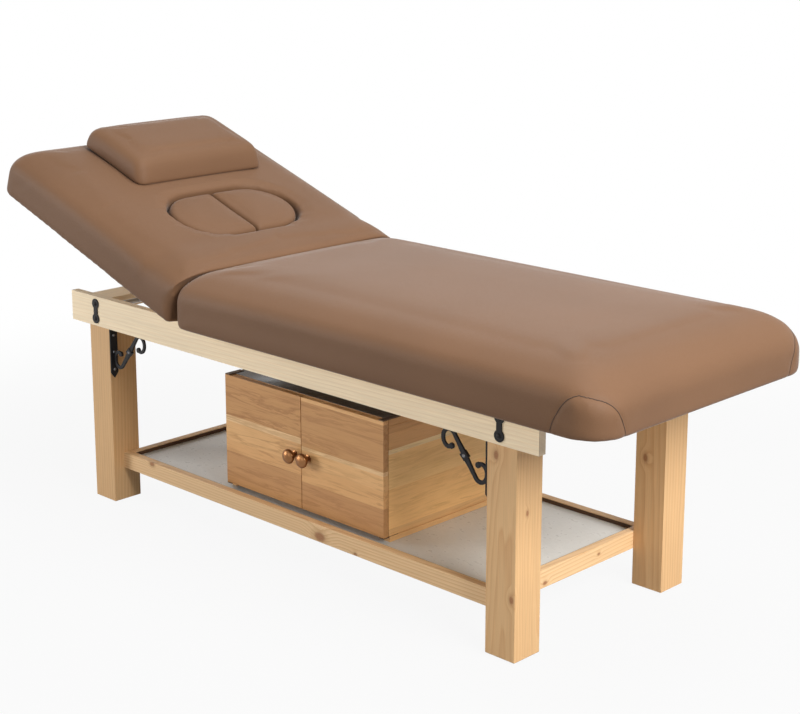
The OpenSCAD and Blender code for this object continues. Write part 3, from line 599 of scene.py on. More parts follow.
@dataclass(frozen=True)
class TimberFrame:
    """Legs, rails, crossbars and slats of pine, with the shelf let in between the legs."""

    edge: float = 2.2 * MM
    thin_edge: float = 1.2 * MM
    strip_thick: float = 2.5 * MM
    strip_high: float = 8.5 * MM

    def legs(self) -> None:
        """The four legs, each of its own timber: ring gap, pith, lean, wander and knots."""
        near = (Knot((0.6944, -0.250, 0.31), 4 * MM), Knot((0.6846, -0.283, 0.135), 5.5 * MM),
                Knot((0.640, -0.283, 0.425), 6 * MM))
        far = (Knot((0.642, 0.205, 0.30), 6 * MM),)
        rows = {
            "leg_front_foot": (7.5 * MM, (0.66, -0.2), (0.05, 0.03), 14 * MM, near),
            "leg_front_head": (8.5 * MM, (-0.60, -0.3), (0.02, 0.03), 10 * MM, ()),
            "leg_rear_foot": (8.5 * MM, (0.63, 0.14), (-0.04, 0.02), 10 * MM, far),
            "leg_rear_head": (8.5 * MM, (-0.7, 0.2), (0.02, -0.04), 10 * MM, ()),
        }
        for node, growth in rows.items():
            timber = Timber(f"Pine_{node}", Grain.UPRIGHT, *LEG, *growth)
            dress(node, timber.material(), self.edge)

    def rails(self) -> None:
        """The long side rails, the crossbars, the slats and the hinge bearer."""
        side = Timber("Pine_side_rail", Grain.ALONG_BED, *RAIL, 8 * MM, (-0.33, 0.40), (0.012, 0.02),
                      6 * MM, contrast=0.42, end_colour=(0.58, 0.50, 0.40)).material()
        cross = Timber("Pine_crossbar", Grain.ACROSS_BED, *RAIL, 7 * MM, (0.1, 0.44), (0.02, 0.02),
                       6 * MM, contrast=0.5).material()
        for node in ("side_rail_front", "side_rail_rear"):
            dress(node, side, self.edge)
        for node in ("crossbar_head", "crossbar_foot", "slat_mid", "slat_foot", "hinge_bearer"):
            dress(node, cross, self.thin_edge)

    def shelf(self) -> None:
        """The shelf's four rails, its cleats and its board."""
        face = box("shelf_rail_front")[0].y
        knots = (Knot((0.1, face, 0.098), 11 * MM), Knot((0.213, face, 0.089), 3.5 * MM),
                 Knot((-0.502, face, 0.121), 6 * MM))
        long = Timber("Pine_shelf_rail", Grain.ALONG_BED, *SHELF, 6.5 * MM, (-0.28, 0.02), (0.01, 0.012),
                      6 * MM, knots, contrast=0.7).material()
        knots = (Knot((0.6164, -0.096, 0.095), 4.5 * MM), Knot((0.6164, 0.083, 0.107), 3 * MM))
        short = Timber("Pine_shelf_end_rail", Grain.ACROSS_BED, *SHELF, 6.5 * MM, (0.55, 0.03),
                       (0.015, 0.015), 6 * MM, knots, contrast=0.6).material()
        grey = Board("Grey_painted_board", (0.66, 0.65, 0.61), (0.60, 0.59, 0.55),
                     rough=0.3, gloss=0.6).material()
        rows = {"shelf_rail_front": long, "shelf_rail_rear": long, "shelf_rail_head": short,
                "shelf_rail_foot": short, "shelf_cleats": long}
        for node, material in rows.items():
            dress(node, material, self.thin_edge)
        dress("shelf_board", grey, 0.6 * MM)

    def painted_shade_strips(self) -> None:
        """Dark strips along the joint between the shelf's board and its rails, painted shade for the shadow
        on the rails' inner faces.
        """
        lo, hi = box("shelf_board")
        low, high, thick = hi.z, hi.z + self.strip_high, self.strip_thick
        corners = [((lo.x, y, low), (hi.x, y + thick, high)) for y in (lo.y, hi.y - thick)]
        corners += [((x, lo.y + thick, low), (x + thick, hi.y - thick, high)) for x in (lo.x, hi.x - thick)]
        piece = blocks("Shelf_painted_shade_strips", corners)
        ease(piece, 0.5 * MM)
        # painted shade: this dark brown stands in for the shadow where the board meets the rails
        dark = Metal("Dark_brown_painted_shade_strip", (0.085, 0.042, 0.02), 0.0, 0.6, 200.0, 0.05 * MM, 0.3)
        finish(piece, dark.material(), Body.BASE)

    def build(self) -> None:
        """Dresses every timber of the frame."""
        self.legs()
        self.rails()
        self.shelf()
        self.painted_shade_strips()
        foot = Metal("Black_rubbery_plastic", (0.02, 0.02, 0.02), 0.0, 0.7)
        dress("foot_glides", foot.material(), 0.5 * MM)


# Cabinet


@dataclass(frozen=True)
class Cabinet:
    """Two-door cabinet of planked board with turned copper knobs."""

    edge: float = 1.0 * MM
    sheet: float = 0.8 * MM
    sheet_inset: float = 1.5 * MM

    def boards(self) -> dict[str, bpy.types.Material]:
        """The materials of the doors and the sides, their planks from the lowest up."""
        brown, gold, pale = (0.58, 0.30, 0.115), (0.82, 0.48, 0.205), (0.90, 0.61, 0.32)
        planks = {
            "left_door": ((0.0, brown), (0.30, (0.76, 0.42, 0.17)), (0.40, gold), (0.575, pale),
                          (0.63, (0.61, 0.32, 0.12))),
            "right_door": ((0.0, (0.56, 0.285, 0.11)), (0.25, (0.77, 0.43, 0.175)), (0.40, gold),
                           (0.53, pale), (0.565, (0.60, 0.315, 0.12)), (0.965, gold)),
            "side": ((0.0, gold), (0.055, (0.97, 0.58, 0.235)), (0.40, (1.0, 0.65, 0.28)),
                     (0.70, (1.0, 0.77, 0.44)), (0.74, (0.76, 0.43, 0.18)), (0.88, (0.66, 0.36, 0.145))),
        }
        lo, hi = box("door_left")
        boards = {}
        for name, tones in planks.items():
            way, late = (Grain.ACROSS_BED, 0.55) if name == "side" else (Grain.ALONG_BED, 0.95)
            boards[name] = PlankBoard(f"Planked_board_{name}", way, lo.z, hi.z, tones, late).material()
        return boards

    def painted_shade_sheet(self) -> None:
        """A thin dark glossy sheet on the cabinet's top; its dark colour is painted shade from the bed
        above, its gloss is the lacquer's.
        """
        lo, hi = box("cabinet_top")
        inset = Vector((self.sheet_inset, self.sheet_inset, 0.0))
        low, high = Vector((lo.x, lo.y, hi.z)) + inset, hi - inset + Vector((0.0, 0.0, self.sheet))
        piece = blocks("Cabinet_top_painted_shade_sheet", [(low, high)])
        ease(piece, 0.3 * MM)
        # painted shade: the near black colour stands in for the bed's shadow on the cabinet top
        dark = Metal("Dark_lacquer_painted_shade", (0.030, 0.016, 0.010), 0.0, 0.2, 60.0, 0.04 * MM)
        finish(piece, dark.material(), Body.BASE)

    def build(self) -> None:
        """Dresses the carcass, the doors, the knobs and the catches."""
        boards = self.boards()
        copper = Metal("Turned_copper", (0.27, 0.125, 0.052), 1.0, 0.34, 300.0, 0.05 * MM).material()
        zinc = Metal("Zinc_plated_steel", (0.62, 0.63, 0.65), 1.0, 0.36).material()
        bronze = Metal("Bronzed_steel_pivots", (0.16, 0.10, 0.06), 1.0, 0.45).material()
        black = Metal("Black_catch_plastic", (0.025, 0.025, 0.027), 0.0, 0.5).material()
        self.painted_shade_sheet()
        for part in ("back", "bottom", "plinth", "side_left", "side_right", "top"):
            board = boards["left_door" if part == "back" else "side"]
            dress(f"cabinet_{part}", board, self.edge)
        for side, body in (("left", Body.DOOR_LEFT), ("right", Body.DOOR_RIGHT)):
            dress(f"door_{side}", boards[f"{side}_door"], self.edge, body)
            dress(f"knob_{side}", copper, 0.0, body)
            dress(f"catch_plate_{side}", zinc, 0.2 * MM, body)
        dress("door_catches", black, 0.4 * MM)
        dress("door_pivots", bronze, 0.2 * MM)


# Ironwork and head lift


@dataclass
class ScrewHeads:
    """Cross-recessed screw heads, set on points by Geometry Nodes, one mesh for each body."""

    width: float = 7.5 * MM
    height: float = 1.9 * MM
    seed: int = 7

    def __post_init__(self) -> None:
        """Starts with no screws."""
        self.places: dict[Body, list[tuple[Vector, Vector]]] = {}

    def add(self, body: Body, at: Sequence[float], facing: Sequence[float]) -> None:
        """Notes one screw: where its head sits and which way it faces."""
        self.places.setdefault(body, []).append((Vector(at), Vector(facing).normalized()))

    def tree(self) -> bpy.types.NodeTree:
        """The node tree: a cone with a cross cut in it, on every point, turned to face out."""
        tree = bpy.data.node_groups.new("Screw_heads", "GeometryNodeTree")
        tree.interface.new_socket("Geometry", in_out="OUTPUT", socket_type="NodeSocketGeometry")
        for name, kind in (("Geometry", "Geometry"), ("Head width", "Float"), ("Head height", "Float"),
                           ("Seed", "Int"), ("Finish", "Material")):
            tree.interface.new_socket(name, in_out="INPUT", socket_type=f"NodeSocket{kind}")
        graph = Graph(tree)
        given = graph.add("NodeGroupInput").outputs

        def part(name: str, share: float) -> Socket:
            """A share of one of the given sizes."""
            return graph.maths("MULTIPLY", given[name], share)

        top, foot, slot_long, slot_thin, lift = 0.36, 0.5, 0.5, 0.11, 1.05
        head = graph.add("GeometryNodeMeshCone", {
            "Vertices": 14, "Radius Top": part("Head width", top),
            "Radius Bottom": part("Head width", foot), "Depth": given["Head height"]})
        cut = graph.add("GeometryNodeMeshBoolean", {"Mesh 1": head.outputs["Mesh"]}, operation="DIFFERENCE")
        for x, y in ((slot_long, slot_thin), (slot_thin, slot_long)):
            size = graph.add("ShaderNodeCombineXYZ", {
                0: part("Head width", x), 1: part("Head width", y), 2: part("Head height", 1.0)})
            raised = graph.add("ShaderNodeCombineXYZ", {2: part("Head height", lift)})
            bar = graph.add("GeometryNodeMeshCube", {"Size": size.outputs[0]})
            bar = graph.add("GeometryNodeTransform", {
                "Geometry": bar.outputs["Mesh"], "Translation": raised.outputs[0]})
            graph.feed(cut.inputs["Mesh 2"], bar.outputs[0])
        facing = graph.add("GeometryNodeInputNamedAttribute", {"Name": "facing"}, data_type="FLOAT_VECTOR")
        turn = graph.add("FunctionNodeAlignRotationToVector", {"Vector": facing.outputs["Attribute"]},
                         axis="Z")
        most_in, number_out = 3, 1
        chance = graph.add("FunctionNodeRandomValue", {most_in: math.pi, "Seed": given["Seed"]},
                           data_type="FLOAT")
        spin = graph.add("FunctionNodeAxisAngleToRotation", {"Angle": chance.outputs[number_out]})
        both = graph.add("FunctionNodeRotateRotation", {0: turn.outputs[0], 1: spin.outputs[0]},
                         rotation_space="LOCAL")
        each = graph.add("GeometryNodeInstanceOnPoints", {
            "Points": given["Geometry"], "Instance": cut.outputs["Mesh"], "Rotation": both.outputs[0]})
        real = graph.add("GeometryNodeRealizeInstances", {0: each.outputs[0]})
        steel = graph.add("GeometryNodeSetMaterial", {
            "Geometry": real.outputs[0], "Material": given["Finish"]})
        graph.add("NodeGroupOutput", {0: steel.outputs[0]})
        return tree

    def build(self) -> None:
        """Makes one mesh of screw heads for each body."""
        tree = self.tree()
        steel = Metal("Blackened_screw_steel", (0.22, 0.22, 0.23), 1.0, 0.35).material()
        inputs = {"Head width": self.width, "Head height": self.height, "Seed": self.seed, "Finish": steel}
        ids = {item.name: item.identifier for item in tree.interface.items_tree if item.in_out == "INPUT"}
        for body, places in self.places.items():
            mesh = bpy.data.meshes.new("points")
            mesh.from_pydata([at for at, _ in places], [], [])
            facing = mesh.attributes.new("facing", "FLOAT_VECTOR", "POINT")
            facing.data.foreach_set("vector", [number for _, way in places for number in way])
            piece = hang(f"Screw_heads_{body.value}", mesh)
            nodes = piece.modifiers.new("Screws", "NODES")
            nodes.node_group = tree
            for name, value in inputs.items():
                nodes[ids[name]] = value
            settle(piece)
            shade(piece, 30.0)
            finish(piece, steel, body)


@dataclass
class Scroll:
    """A forged S scroll on a strap, under the corner of a leg and a rail.

    Attributes:
        end: 1 at the foot legs, -1 at the head legs.
        side: -1 at the front, 1 at the rear.
    """

    end: int
    side: int
    coil: tuple[float, float] = (43.2 * MM, 21.0 * MM)
    tall: float = 1.2
    radius: float = 18.5 * MM
    radius_in: float = 13.5 * MM
    sweep: float = math.radians(262.0)
    thick_mid: float = 6.0 * MM
    thick_coil: float = 4.6 * MM
    thick_tip: float = 4.0 * MM
    swell: float = 0.9 * MM
    ball: float = 6.4 * MM
    ball_proud: float = 0.6 * MM
    wide: float = 5.0 * MM
    boss: float = 12.0 * MM
    boss_proud: float = 1.5 * MM
    strap_w: float = 21.0 * MM
    strap_len: float = 128.0 * MM
    strap_t: float = 4.0 * MM
    strap_tip: float = 14.0 * MM
    strap_bite: float = 0.2 * MM
    strap_screws: tuple[float, ...] = (20.0 * MM, 62.0 * MM, 106.0 * MM)

    def __post_init__(self) -> None:
        """Takes the bracket's place from its leg and the rail, and lays its line."""
        self.corner = f"{'front' if self.side < 0 else 'rear'}_{'foot' if self.end > 0 else 'head'}"
        lo, hi = box(f"leg_{self.corner}")
        self.face = lo.x if self.end > 0 else hi.x
        self.mid = self.side * (max(abs(lo.y), abs(hi.y)) - self.strap_w / 2)
        self.top = box("side_rail_front")[0].z
        half = self.half()
        self.line = [(-x, -z, thick) for x, z, thick in reversed(half[1:])] + half
        self.out = max(x + thick for x, _, thick in self.line) + self.strap_t - self.strap_bite
        self.down = max(z + thick for _, z, thick in self.line)

    def half(self) -> list[Place]:
        """X, Z and half thickness of the bar, from the scroll's middle to its upper tip."""
        cx, cz = self.coil
        far = math.hypot(cx, cz)
        lean = math.atan2(cz, cx) + math.asin(self.radius / far)
        reach = math.sqrt(far**2 - self.radius**2)
        start = (reach * math.cos(lean), reach * math.sin(lean))
        first = math.atan2(start[1] - cz, start[0] - cx)
        points = []
        stem, turns = 7, 30
        for i in range(stem):
            share = i / stem
            thick = self.thick_mid - (self.thick_mid - self.thick_coil) * share
            thick += self.swell * math.sin(math.pi * min(1.0, 2.2 * share))
            points.append((start[0] * share, start[1] * share, thick))
        for i in range(turns + 1):
            share = i / turns
            angle = first - self.sweep * share
            radius = self.radius + (self.radius_in - self.radius) * share
            thick = self.thick_coil + (self.thick_tip - self.thick_coil) * share
            points.append((cx + radius * math.cos(angle), cz + radius * math.sin(angle), thick))
        return [(x, z * self.tall, thick) for x, z, thick in points]

    def plate(self, work: bmesh.types.BMesh, outline: Sequence[Vector], across: Vector) -> None:
        """Adds a flat closed shape, as thick as the vector across."""
        first = [work.verts.new(point) for point in outline]
        second = [work.verts.new(point + across) for point in outline]
        work.faces.new(first)
        work.faces.new(list(reversed(second)))
        for i in range(len(outline)):
            j = (i + 1) % len(outline)
            work.faces.new((first[j], first[i], second[i], second[j]))

    def disc(self, work: bmesh.types.BMesh, x: float, z: float, radius: float, corners: int,
             proud: float) -> None:
        """Adds an upright plate with a number of corners, proud of the bar on both sides."""
        start = -self.wide / 2 - proud
        turns = (2 * math.pi * k / corners for k in range(corners))
        outline = [Vector((x + radius * math.cos(a), start, z + radius * math.sin(a))) for a in turns]
        self.plate(work, outline, Vector((0.0, self.wide + 2 * proud, 0.0)))

    def mesh(self) -> bpy.types.Mesh:
        """The bracket, with x out from the leg, z up from the rail's underside and y across."""
        work = bmesh.new()
        half, edge = self.wide / 2, self.strap_w / 2
        rings = []
        for i, (x, z, thick) in enumerate(self.line):
            back, ahead = self.line[max(i - 1, 0)], self.line[min(i + 1, len(self.line) - 1)]
            along = Vector((ahead[0] - back[0], 0.0, ahead[1] - back[1])).normalized()
            side = Vector((-along.z, 0.0, along.x)) * thick
            middle = Vector((self.out + x, 0.0, z - self.down))
            rings.append([work.verts.new(middle + sign * side + Vector((0.0, y, 0.0)))
                          for sign, y in ((1, -half), (1, half), (-1, half), (-1, -half))])
        quads(work, rings)
        work.faces.new(list(reversed(rings[0])))
        work.faces.new(rings[-1])
        for x, z, _ in (self.line[0], self.line[-1]):
            self.disc(work, self.out + x, z - self.down, self.ball, 14, self.ball_proud)
        self.disc(work, self.out, -self.down, self.boss, 4, self.boss_proud)
        shoulder = self.strap_tip - self.strap_len
        strap = [(-edge, 0.0), (edge, 0.0), (edge, shoulder), (0.0, -self.strap_len), (-edge, shoulder)]
        self.plate(work, [Vector((0.0, y, z)) for y, z in strap], Vector((self.strap_t, 0.0, 0.0)))
        return made("scroll", work, outward=True)

    def piece(self) -> bpy.types.Object:
        """The bracket in its place."""
        mesh = self.mesh()
        for vertex in mesh.vertices:
            x, y, z = vertex.co
            vertex.co = (self.face - self.end * x, self.mid + y, self.top + z)
        if self.end > 0:
            mesh.flip_normals()
        return hang(f"Scroll_{self.corner}", mesh)

    def fix(self, screws: ScrewHeads) -> None:
        """Notes the boss's screw and the three in the strap."""
        y = self.mid + self.side * (self.wide / 2 + self.boss_proud)
        at = (self.face - self.end * self.out, y, self.top - self.down)
        screws.add(Body.BASE, at, (0.0, self.side, 0.0))
        for low in self.strap_screws:
            at = (self.face - self.end * self.strap_t, self.mid, self.top - low)
            screws.add(Body.BASE, at, (-self.end, 0.0, 0.0))


@dataclass(frozen=True)
class Ironwork:
    """Black scroll brackets under the rails, and the bone plates with their bolts."""

    screws: ScrewHeads
    edge: float = 1.0 * MM

    def build(self) -> None:
        """Makes the brackets and dresses the plates and bolts."""
        iron = Metal("Matt_black_iron", (0.013, 0.012, 0.013), 0.0, 0.5, 420.0, 0.12 * MM, 0.18).material()
        for side in (-1, 1):
            for end in (-1, 1):
                scroll = Scroll(end, side)
                piece = scroll.piece()
                ease(piece, self.edge, 50.0)
                finish(piece, iron, Body.BASE, f"scroll_{scroll.corner}")
                scroll.fix(self.screws)
        dress("rail_plates", iron, 0.5 * MM)
        dress("rail_bolts", iron)


@dataclass(frozen=True)
class HeadLift:
    """The hinges, the swinging prop and the racks that hold the head section up."""

    screws: ScrewHeads
    knuckle: float = 6.6 * MM
    knuckle_band: tuple[float, float] = (5.5 * MM, 7.1 * MM)
    leaf_thick: float = 2.5 * MM
    board_gap: float = 9.0 * MM
    leaf_edge: float = 35.0 * MM
    leaf_screws: tuple[float, float] = (20.0 * MM, 36.0 * MM)
    leaf_off: float = 22.0 * MM
    slat_screws: tuple[float, ...] = (-0.2, -0.07, 0.07, 0.2)
    back_inner: float = 120.0 * MM
    back_over: float = 7.0 * MM
    back_low: float = 7.5 * MM

    def turn_down(self, piece: bpy.types.Object, pivot: Vector) -> None:
        """Turns the moving knuckles down a little, so that they clear the bearer as they swing."""
        for vertex in piece.data.vertices:
            off = Vector((vertex.co.x - pivot.x, 0.0, vertex.co.z - pivot.z))
            if self.knuckle_band[0] < off.length < self.knuckle_band[1]:
                vertex.co -= off * (1.0 - min(1.0, self.knuckle / off.length))

    def hinge_screws(self, pivot: Vector) -> None:
        """Notes the screws of both leaves of each hinge."""
        leaf = box("hinge_fixed_leaves")[1]
        c, s = math.cos(TILT), math.sin(TILT)
        high = self.board_gap - self.leaf_thick
        side = leaf.y - self.leaf_edge
        for middle in (-side, 0.0, side):
            for off in (-self.leaf_off, self.leaf_off):
                for low in self.leaf_screws:
                    y = middle + off
                    at = (leaf.x - self.leaf_thick, y, pivot.z - low)
                    self.screws.add(Body.BASE, at, (-1.0, 0.0, 0.0))
                    at = (pivot.x - low * c + high * s, y, pivot.z + low * s + high * c)
                    self.screws.add(Body.HEAD, at, (-s, 0.0, -c))

    def wood_screws(self) -> None:
        """Notes the screws of the racks, the slats, the foot crossbar and the cabinet's back."""
        lo, hi = box("racks")
        for way in (-1, 1):
            for x in (lo.x + 12 * MM, (lo.x + hi.x) / 2, hi.x - 12 * MM):
                self.screws.add(Body.BASE, (x, way * (hi.y - 6 * MM), lo.z + 9 * MM), (0.0, -way, 0.0))
        for slat in ("slat_mid", "slat_foot", "crossbar_foot"):
            lo, hi = box(slat)
            for y in self.slat_screws:
                self.screws.add(Body.BASE, ((lo.x + hi.x) / 2, y, lo.z), (0.0, 0.0, -1.0))
        lo, hi = box("cabinet_back")
        middle, inner, over = (lo.x + hi.x) / 2, self.back_inner, self.back_over
        for x in (lo.x - over, middle - inner, middle + inner, hi.x + over):
            for z in (lo.z + self.back_low, hi.z + self.back_low):
                self.screws.add(Body.BASE, (x, hi.y, z), (0.0, 1.0, 0.0))

    def build(self) -> None:
        """Dresses the steel parts and notes the screws."""
        lo, hi = box("hinge_pins")
        pivot = (lo + hi) / 2
        zinc = Metal("Zinc_steel_lift", (0.60, 0.61, 0.63), 1.0, 0.38).material()
        rows = {"hinge_fixed_leaves": Body.BASE, "hinge_moving_leaves": Body.HEAD,
                "hinge_pins": Body.BASE, "racks": Body.BASE, "prop_lugs": Body.HEAD,
                "prop_arms": Body.PROP, "prop_foot_bar": Body.PROP, "prop_pivot_rod": Body.PROP}
        for node, body in rows.items():
            piece = dress(node, zinc, 0.0, body)
            if node == "hinge_moving_leaves":
                self.turn_down(piece, pivot)
        self.hinge_screws(pivot)
        self.wood_screws()


# Upholstery


@dataclass(frozen=True)
class Foam:
    """Soft work on a cushion's mesh: remesh, swell under pressure, relax, subdivide."""

    voxel: float
    shrink: float
    cap: float
    pressure: float = 5.0
    least: float = 0.85
    frames: int = 20

    def remesh(self, piece: bpy.types.Object) -> None:
        """Even quads all over the piece, a little inside its outline."""
        even = piece.modifiers.new("Even", "REMESH")
        even.mode = "VOXEL"
        even.voxel_size = self.voxel
        even.use_smooth_shade = True
        settle(piece)
        self.relax(piece, 4)

    def relax(self, piece: bpy.types.Object, rounds: int, where: Where | None = None) -> None:
        """Smooths the mesh, or a part of it, a number of rounds."""
        work = bmesh.new()
        work.from_mesh(piece.data)
        verts = [v for v in work.verts if where is None or where(v.co)]
        for _ in range(rounds):
            bmesh.ops.smooth_vert(work, verts=verts, factor=0.5, use_axis_x=True, use_axis_y=True,
                                  use_axis_z=True)
        work.to_mesh(piece.data)
        work.free()

    def push(self, piece: bpy.types.Object, held: Where, way: float) -> None:
        """Moves the free surface out along its normals, or in where way is -1."""
        normals = [vertex.normal.copy() for vertex in piece.data.vertices]
        for vertex, normal in zip(piece.data.vertices, normals):
            if not held(vertex.co):
                vertex.co += way * self.shrink * normal

    def stuff(self, piece: bpy.types.Object, held: Where) -> None:
        """Draws the cover in and blows it up again with cloth under pressure, at most cap away."""
        self.push(piece, held, -1.0)
        scene = bpy.context.scene
        before = [(vertex.co.copy(), vertex.normal.copy()) for vertex in piece.data.vertices]
        group = piece.vertex_groups.new(name="held")
        group.add([i for i, (co, _) in enumerate(before) if held(co)], 1.0, "REPLACE")
        cloth = piece.modifiers.new("Cover", "CLOTH")
        cloth.settings.quality = 5
        cloth.settings.use_pressure = True
        cloth.settings.uniform_pressure_force = self.pressure
        cloth.settings.vertex_group_mass = "held"
        cloth.settings.effector_weights.gravity = 0.0
        cloth.point_cache.frame_start = 1
        cloth.point_cache.frame_end = self.frames
        for number in range(1, self.frames + 1):
            scene.frame_set(number)
        settle(piece)
        piece.vertex_groups.clear()
        for vertex, (start, normal) in zip(piece.data.vertices, before):
            if held(start):
                continue
            move = vertex.co - start
            move += max(0.0, self.least * self.shrink - move.dot(normal)) * normal
            vertex.co = start + move * min(1.0, self.cap / max(move.length, 1e-9))
        scene.frame_set(1)

    def subdivide(self, piece: bpy.types.Object) -> None:
        """One level of subdivision, made plain mesh."""
        fine = piece.modifiers.new("Fine", "SUBSURF")
        fine.levels = fine.render_levels = 1
        settle(piece)
        shade(piece, 180.0)


def sink(piece: bpy.types.Object, line: Sequence[Vector], width: float, depth: float) -> None:
    """Presses a soft furrow into a cushion along a line."""
    tree = kdtree.KDTree(len(line))
    for i, point in enumerate(line):
        tree.insert(point, i)
    tree.balance()
    gaps = [tree.find(vertex.co)[2] for vertex in piece.data.vertices]
    normals = [vertex.normal.copy() for vertex in piece.data.vertices]
    for vertex, normal, gap in zip(piece.data.vertices, normals, gaps):
        if gap < 4 * width:
            vertex.co -= depth * math.exp(-(gap / width) ** 2) * normal


def on_cover(piece: bpy.types.Object, line: Sequence[Vector], over: float) -> list[Vector]:
    """A line laid on a cushion's surface, or a little over it."""
    work = bmesh.new()
    work.from_mesh(piece.data)
    tree = BVHTree.FromBMesh(work)
    near = [tree.find_nearest(point) for point in line]
    work.free()
    return [spot + over * normal for spot, normal, _, _ in near]


@dataclass(frozen=True)
class Fall:
    """How a stuffed cushion's edges fall away, in place of the solid's short round.

    Attributes:
        end_wide: How far in from the free end the fall starts.
        end_deep: How far the free end's top edge falls.
        crown: How much the middle stands proud.
        wide: How far in from the sides the fall starts.
        deep: How far the sides' top edges fall.
        edge: The radius of the solid's own edge.
        full: The cushion's height.
        most: The largest fall where two edges meet.
        blend: How the two falls add up at a corner.
        crown_reach: How far in from the sides the crown reaches its height.
    """

    end_wide: float
    end_deep: float
    crown: float
    wide: float = 105.0 * MM
    deep: float = 58.0 * MM
    edge: float = 40.0 * MM
    full: float = 134.0 * MM
    most: float = 94.0 * MM
    blend: float = 1.7
    crown_reach: float = 300.0 * MM

    @staticmethod
    def lost(gap: float, run: float, drop: float) -> float:
        """Height lost at a distance from an edge, on a quarter ellipse."""
        share = held_share((run - gap) / run)
        return drop * (1.0 - math.sqrt(1.0 - share * share))

    def shape(self, piece: bpy.types.Object, place: Callable[[Vector], Place],
              lift: Callable[[Vector, float], Vector]) -> None:
        """Reshapes a cushion.

        Args:
            piece: The cushion.
            place: Gives a point's distance from the side and from the free end, and its height.
            lift: Moves a point so far up the cushion's height, or down where that is below 0.
        """
        for vertex in piece.data.vertices:
            side, end, high = place(vertex.co)
            side, end = max(side, 0.0), max(end, 0.0)
            old = self.full - max(self.lost(gap, self.edge, self.edge) for gap in (side, end))
            falls = self.lost(side, self.wide, self.deep), self.lost(end, self.end_wide, self.end_deep)
            lost = sum(fall**self.blend for fall in falls) ** (1 / self.blend)
            across = held_share(side / self.crown_reach)
            new = self.full - min(lost, self.most) + self.crown * (1 - (1 - across) ** 2)
            vertex.co = lift(vertex.co, high * (new / old - 1.0))


